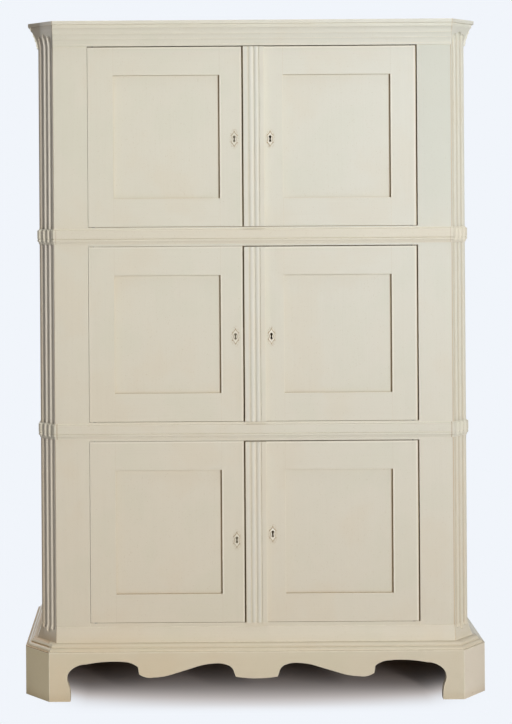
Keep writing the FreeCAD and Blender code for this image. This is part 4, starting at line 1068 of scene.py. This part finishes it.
# %% [markdown]
# Between the two edges the plate's height depends only on the share of the way from
# the hole, 0, to the outline, 1.  Two bell curves make the lip and the rim.

# %% Shape the plates
RINGS = 22
PLATE_PROUD = 0.0025
FIELD_HEIGHT, LIP_RISE, RIM_RISE = 0.0011, 0.0005, 0.0012
LIP_PLACE, RIM_PLACE, BELL_WIDTH = 0.12, 0.84, 0.08
HOLE_EDGE_HEIGHT, OUTER_EDGE_HEIGHT = 0.0008, 0.0006


def bell(share, centre):
    """e^-(distance / width)^2, which is 1 at the centre."""
    return np.exp(-((share - centre) / BELL_WIDTH) ** 2)


def plate_height(share):
    """The field with lip and rim, down to the door at both ends of the section."""
    height = FIELD_HEIGHT + LIP_RISE * bell(share, LIP_PLACE) + RIM_RISE * bell(share, RIM_PLACE)
    height = np.minimum(height, PLATE_PROUD)
    height[[0, -1]] = 0.0
    height[1], height[-2] = HOLE_EDGE_HEIGHT, OUTER_EDGE_HEIGHT
    return height


def ring_faces(rows, columns):
    """Four-cornered faces over a grid that closes in both directions."""
    row, column = np.meshgrid(np.arange(rows), np.arange(columns), indexing="ij")
    next_row, next_column = (row + 1) % rows, (column + 1) % columns
    return np.stack([row * columns + column, next_row * columns + column,
                     next_row * columns + next_column, row * columns + next_column],
                    axis=-1).reshape(-1, 4)


def keyhole_plate(name, node, body):
    """Rings between hole and outline: hole * (1 - share) + outline * share, each as
    high as its share says, in the place and thickness of the plain plate."""
    low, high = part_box(node)
    middle = (np.array(low) + np.array(high)) / 2
    outline = plate_outline(STEPS_PER_CURVE)[::-1]
    angle = np.arctan2(outline[:, 1], outline[:, 0])
    hole = keyhole_reach(angle)[:, None] * np.stack([np.cos(angle), np.sin(angle)], axis=-1)
    share = np.concatenate([[0.0], np.linspace(0.0, 1.0, RINGS), [1.0]])
    flat = hole[None] * (1.0 - share[:, None, None]) + outline[None] * share[:, None, None]
    points = np.empty((len(share), len(outline), 3))
    points[..., 0] = middle[0] + flat[..., 0]
    points[..., 1] = high[1] - plate_height(share)[:, None]
    points[..., 2] = middle[2] + flat[..., 1]
    faces = ring_faces(len(share), len(outline))
    mesh = bpy.data.meshes.new(name)
    mesh.from_pydata(points.reshape(-1, 3).tolist(), [], faces.tolist())
    across = mesh.attributes.new("across", "FLOAT", "POINT")
    across.data.foreach_set("value", np.repeat(share, len(outline)).astype(np.float32))
    mesh.polygons.foreach_set("use_smooth", np.ones(len(faces), dtype=bool))
    plate = add_to_scene(name, mesh)
    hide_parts(node)
    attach(plate, body)
    return plate


plates = {(tier, side): keyhole_plate(f"keyhole_plate_{tier}_{side}", f"escutcheon_{tier}_{side}",
                                      f"{tier}_{side}_door")
          for tier in TIERS for side in ("left", "right")}
print(len(plates), "plates of", len(plates["upper", "left"].data.polygons), "faces")

# %% [markdown]
# The plates carry the door's paint.  On the left doors the paint fills them, and
# only a thin brown line follows the outline.  On the right doors keys have rubbed
# the paint to a pale bone colour, with dull brass along the rim and dark specks
# round the outline.

# %% Finish the plates
PLATE_PALE, DULL_BRASS = linear(240, 235, 222), linear(158, 132, 84)
PLATE_LINE = 0.66


def plate_finish(name, rubbed, seed):
    """Paint that wears by its share of the way from the hole to the outline."""
    plate = Recipe(name)
    across = plate.node("ShaderNodeAttribute", {"attribute_name": "across"}, {}, "Fac")
    colour, streaks = paint_colour(plate, UPRIGHT_BRUSH, seed)
    specks = plate.noise(plate.place, 420.0, detail=3.0)
    colour = plate.blend(0.7 if rubbed else 0.35, colour, PLATE_PALE)
    rim = across.near(RIM_PLACE, 0.10)
    brass = (rim * specks.ramp(0.50, 0.62)) * (0.35 if rubbed else 0.15)
    border = across.near(1.0, 0.34).ramp(0.0, 0.6) * specks.ramp(0.25, 0.45)
    line = across.near(PLATE_LINE, 0.10) * specks.ramp(0.35, 0.6) * (0.15 if rubbed else 0.25)
    lip = across.near(0.0, 0.14) * 0.9
    colour = plate.blend(any_of(border, line, lip), colour, GRIME_AND_SHADE, "MULTIPLY")
    colour = plate.blend(brass, colour, DULL_BRASS)
    return plate.finish(Base_Color=colour, Metallic=brass * 0.7,
                        Roughness=(0.42 + specks * 0.25).clamped(),
                        Normal=plate.bump(specks * 0.5 + streaks * 0.5, 0.0002, 0.4))


for (tier, side), plate in plates.items():
    plate.data.materials.append(plate_finish(f"plate_paint_{tier}_{side}", side == "right",
                                             51.0 + TIERS.index(tier)))
print(len(plates), "plates have their finish")

# %% [markdown]
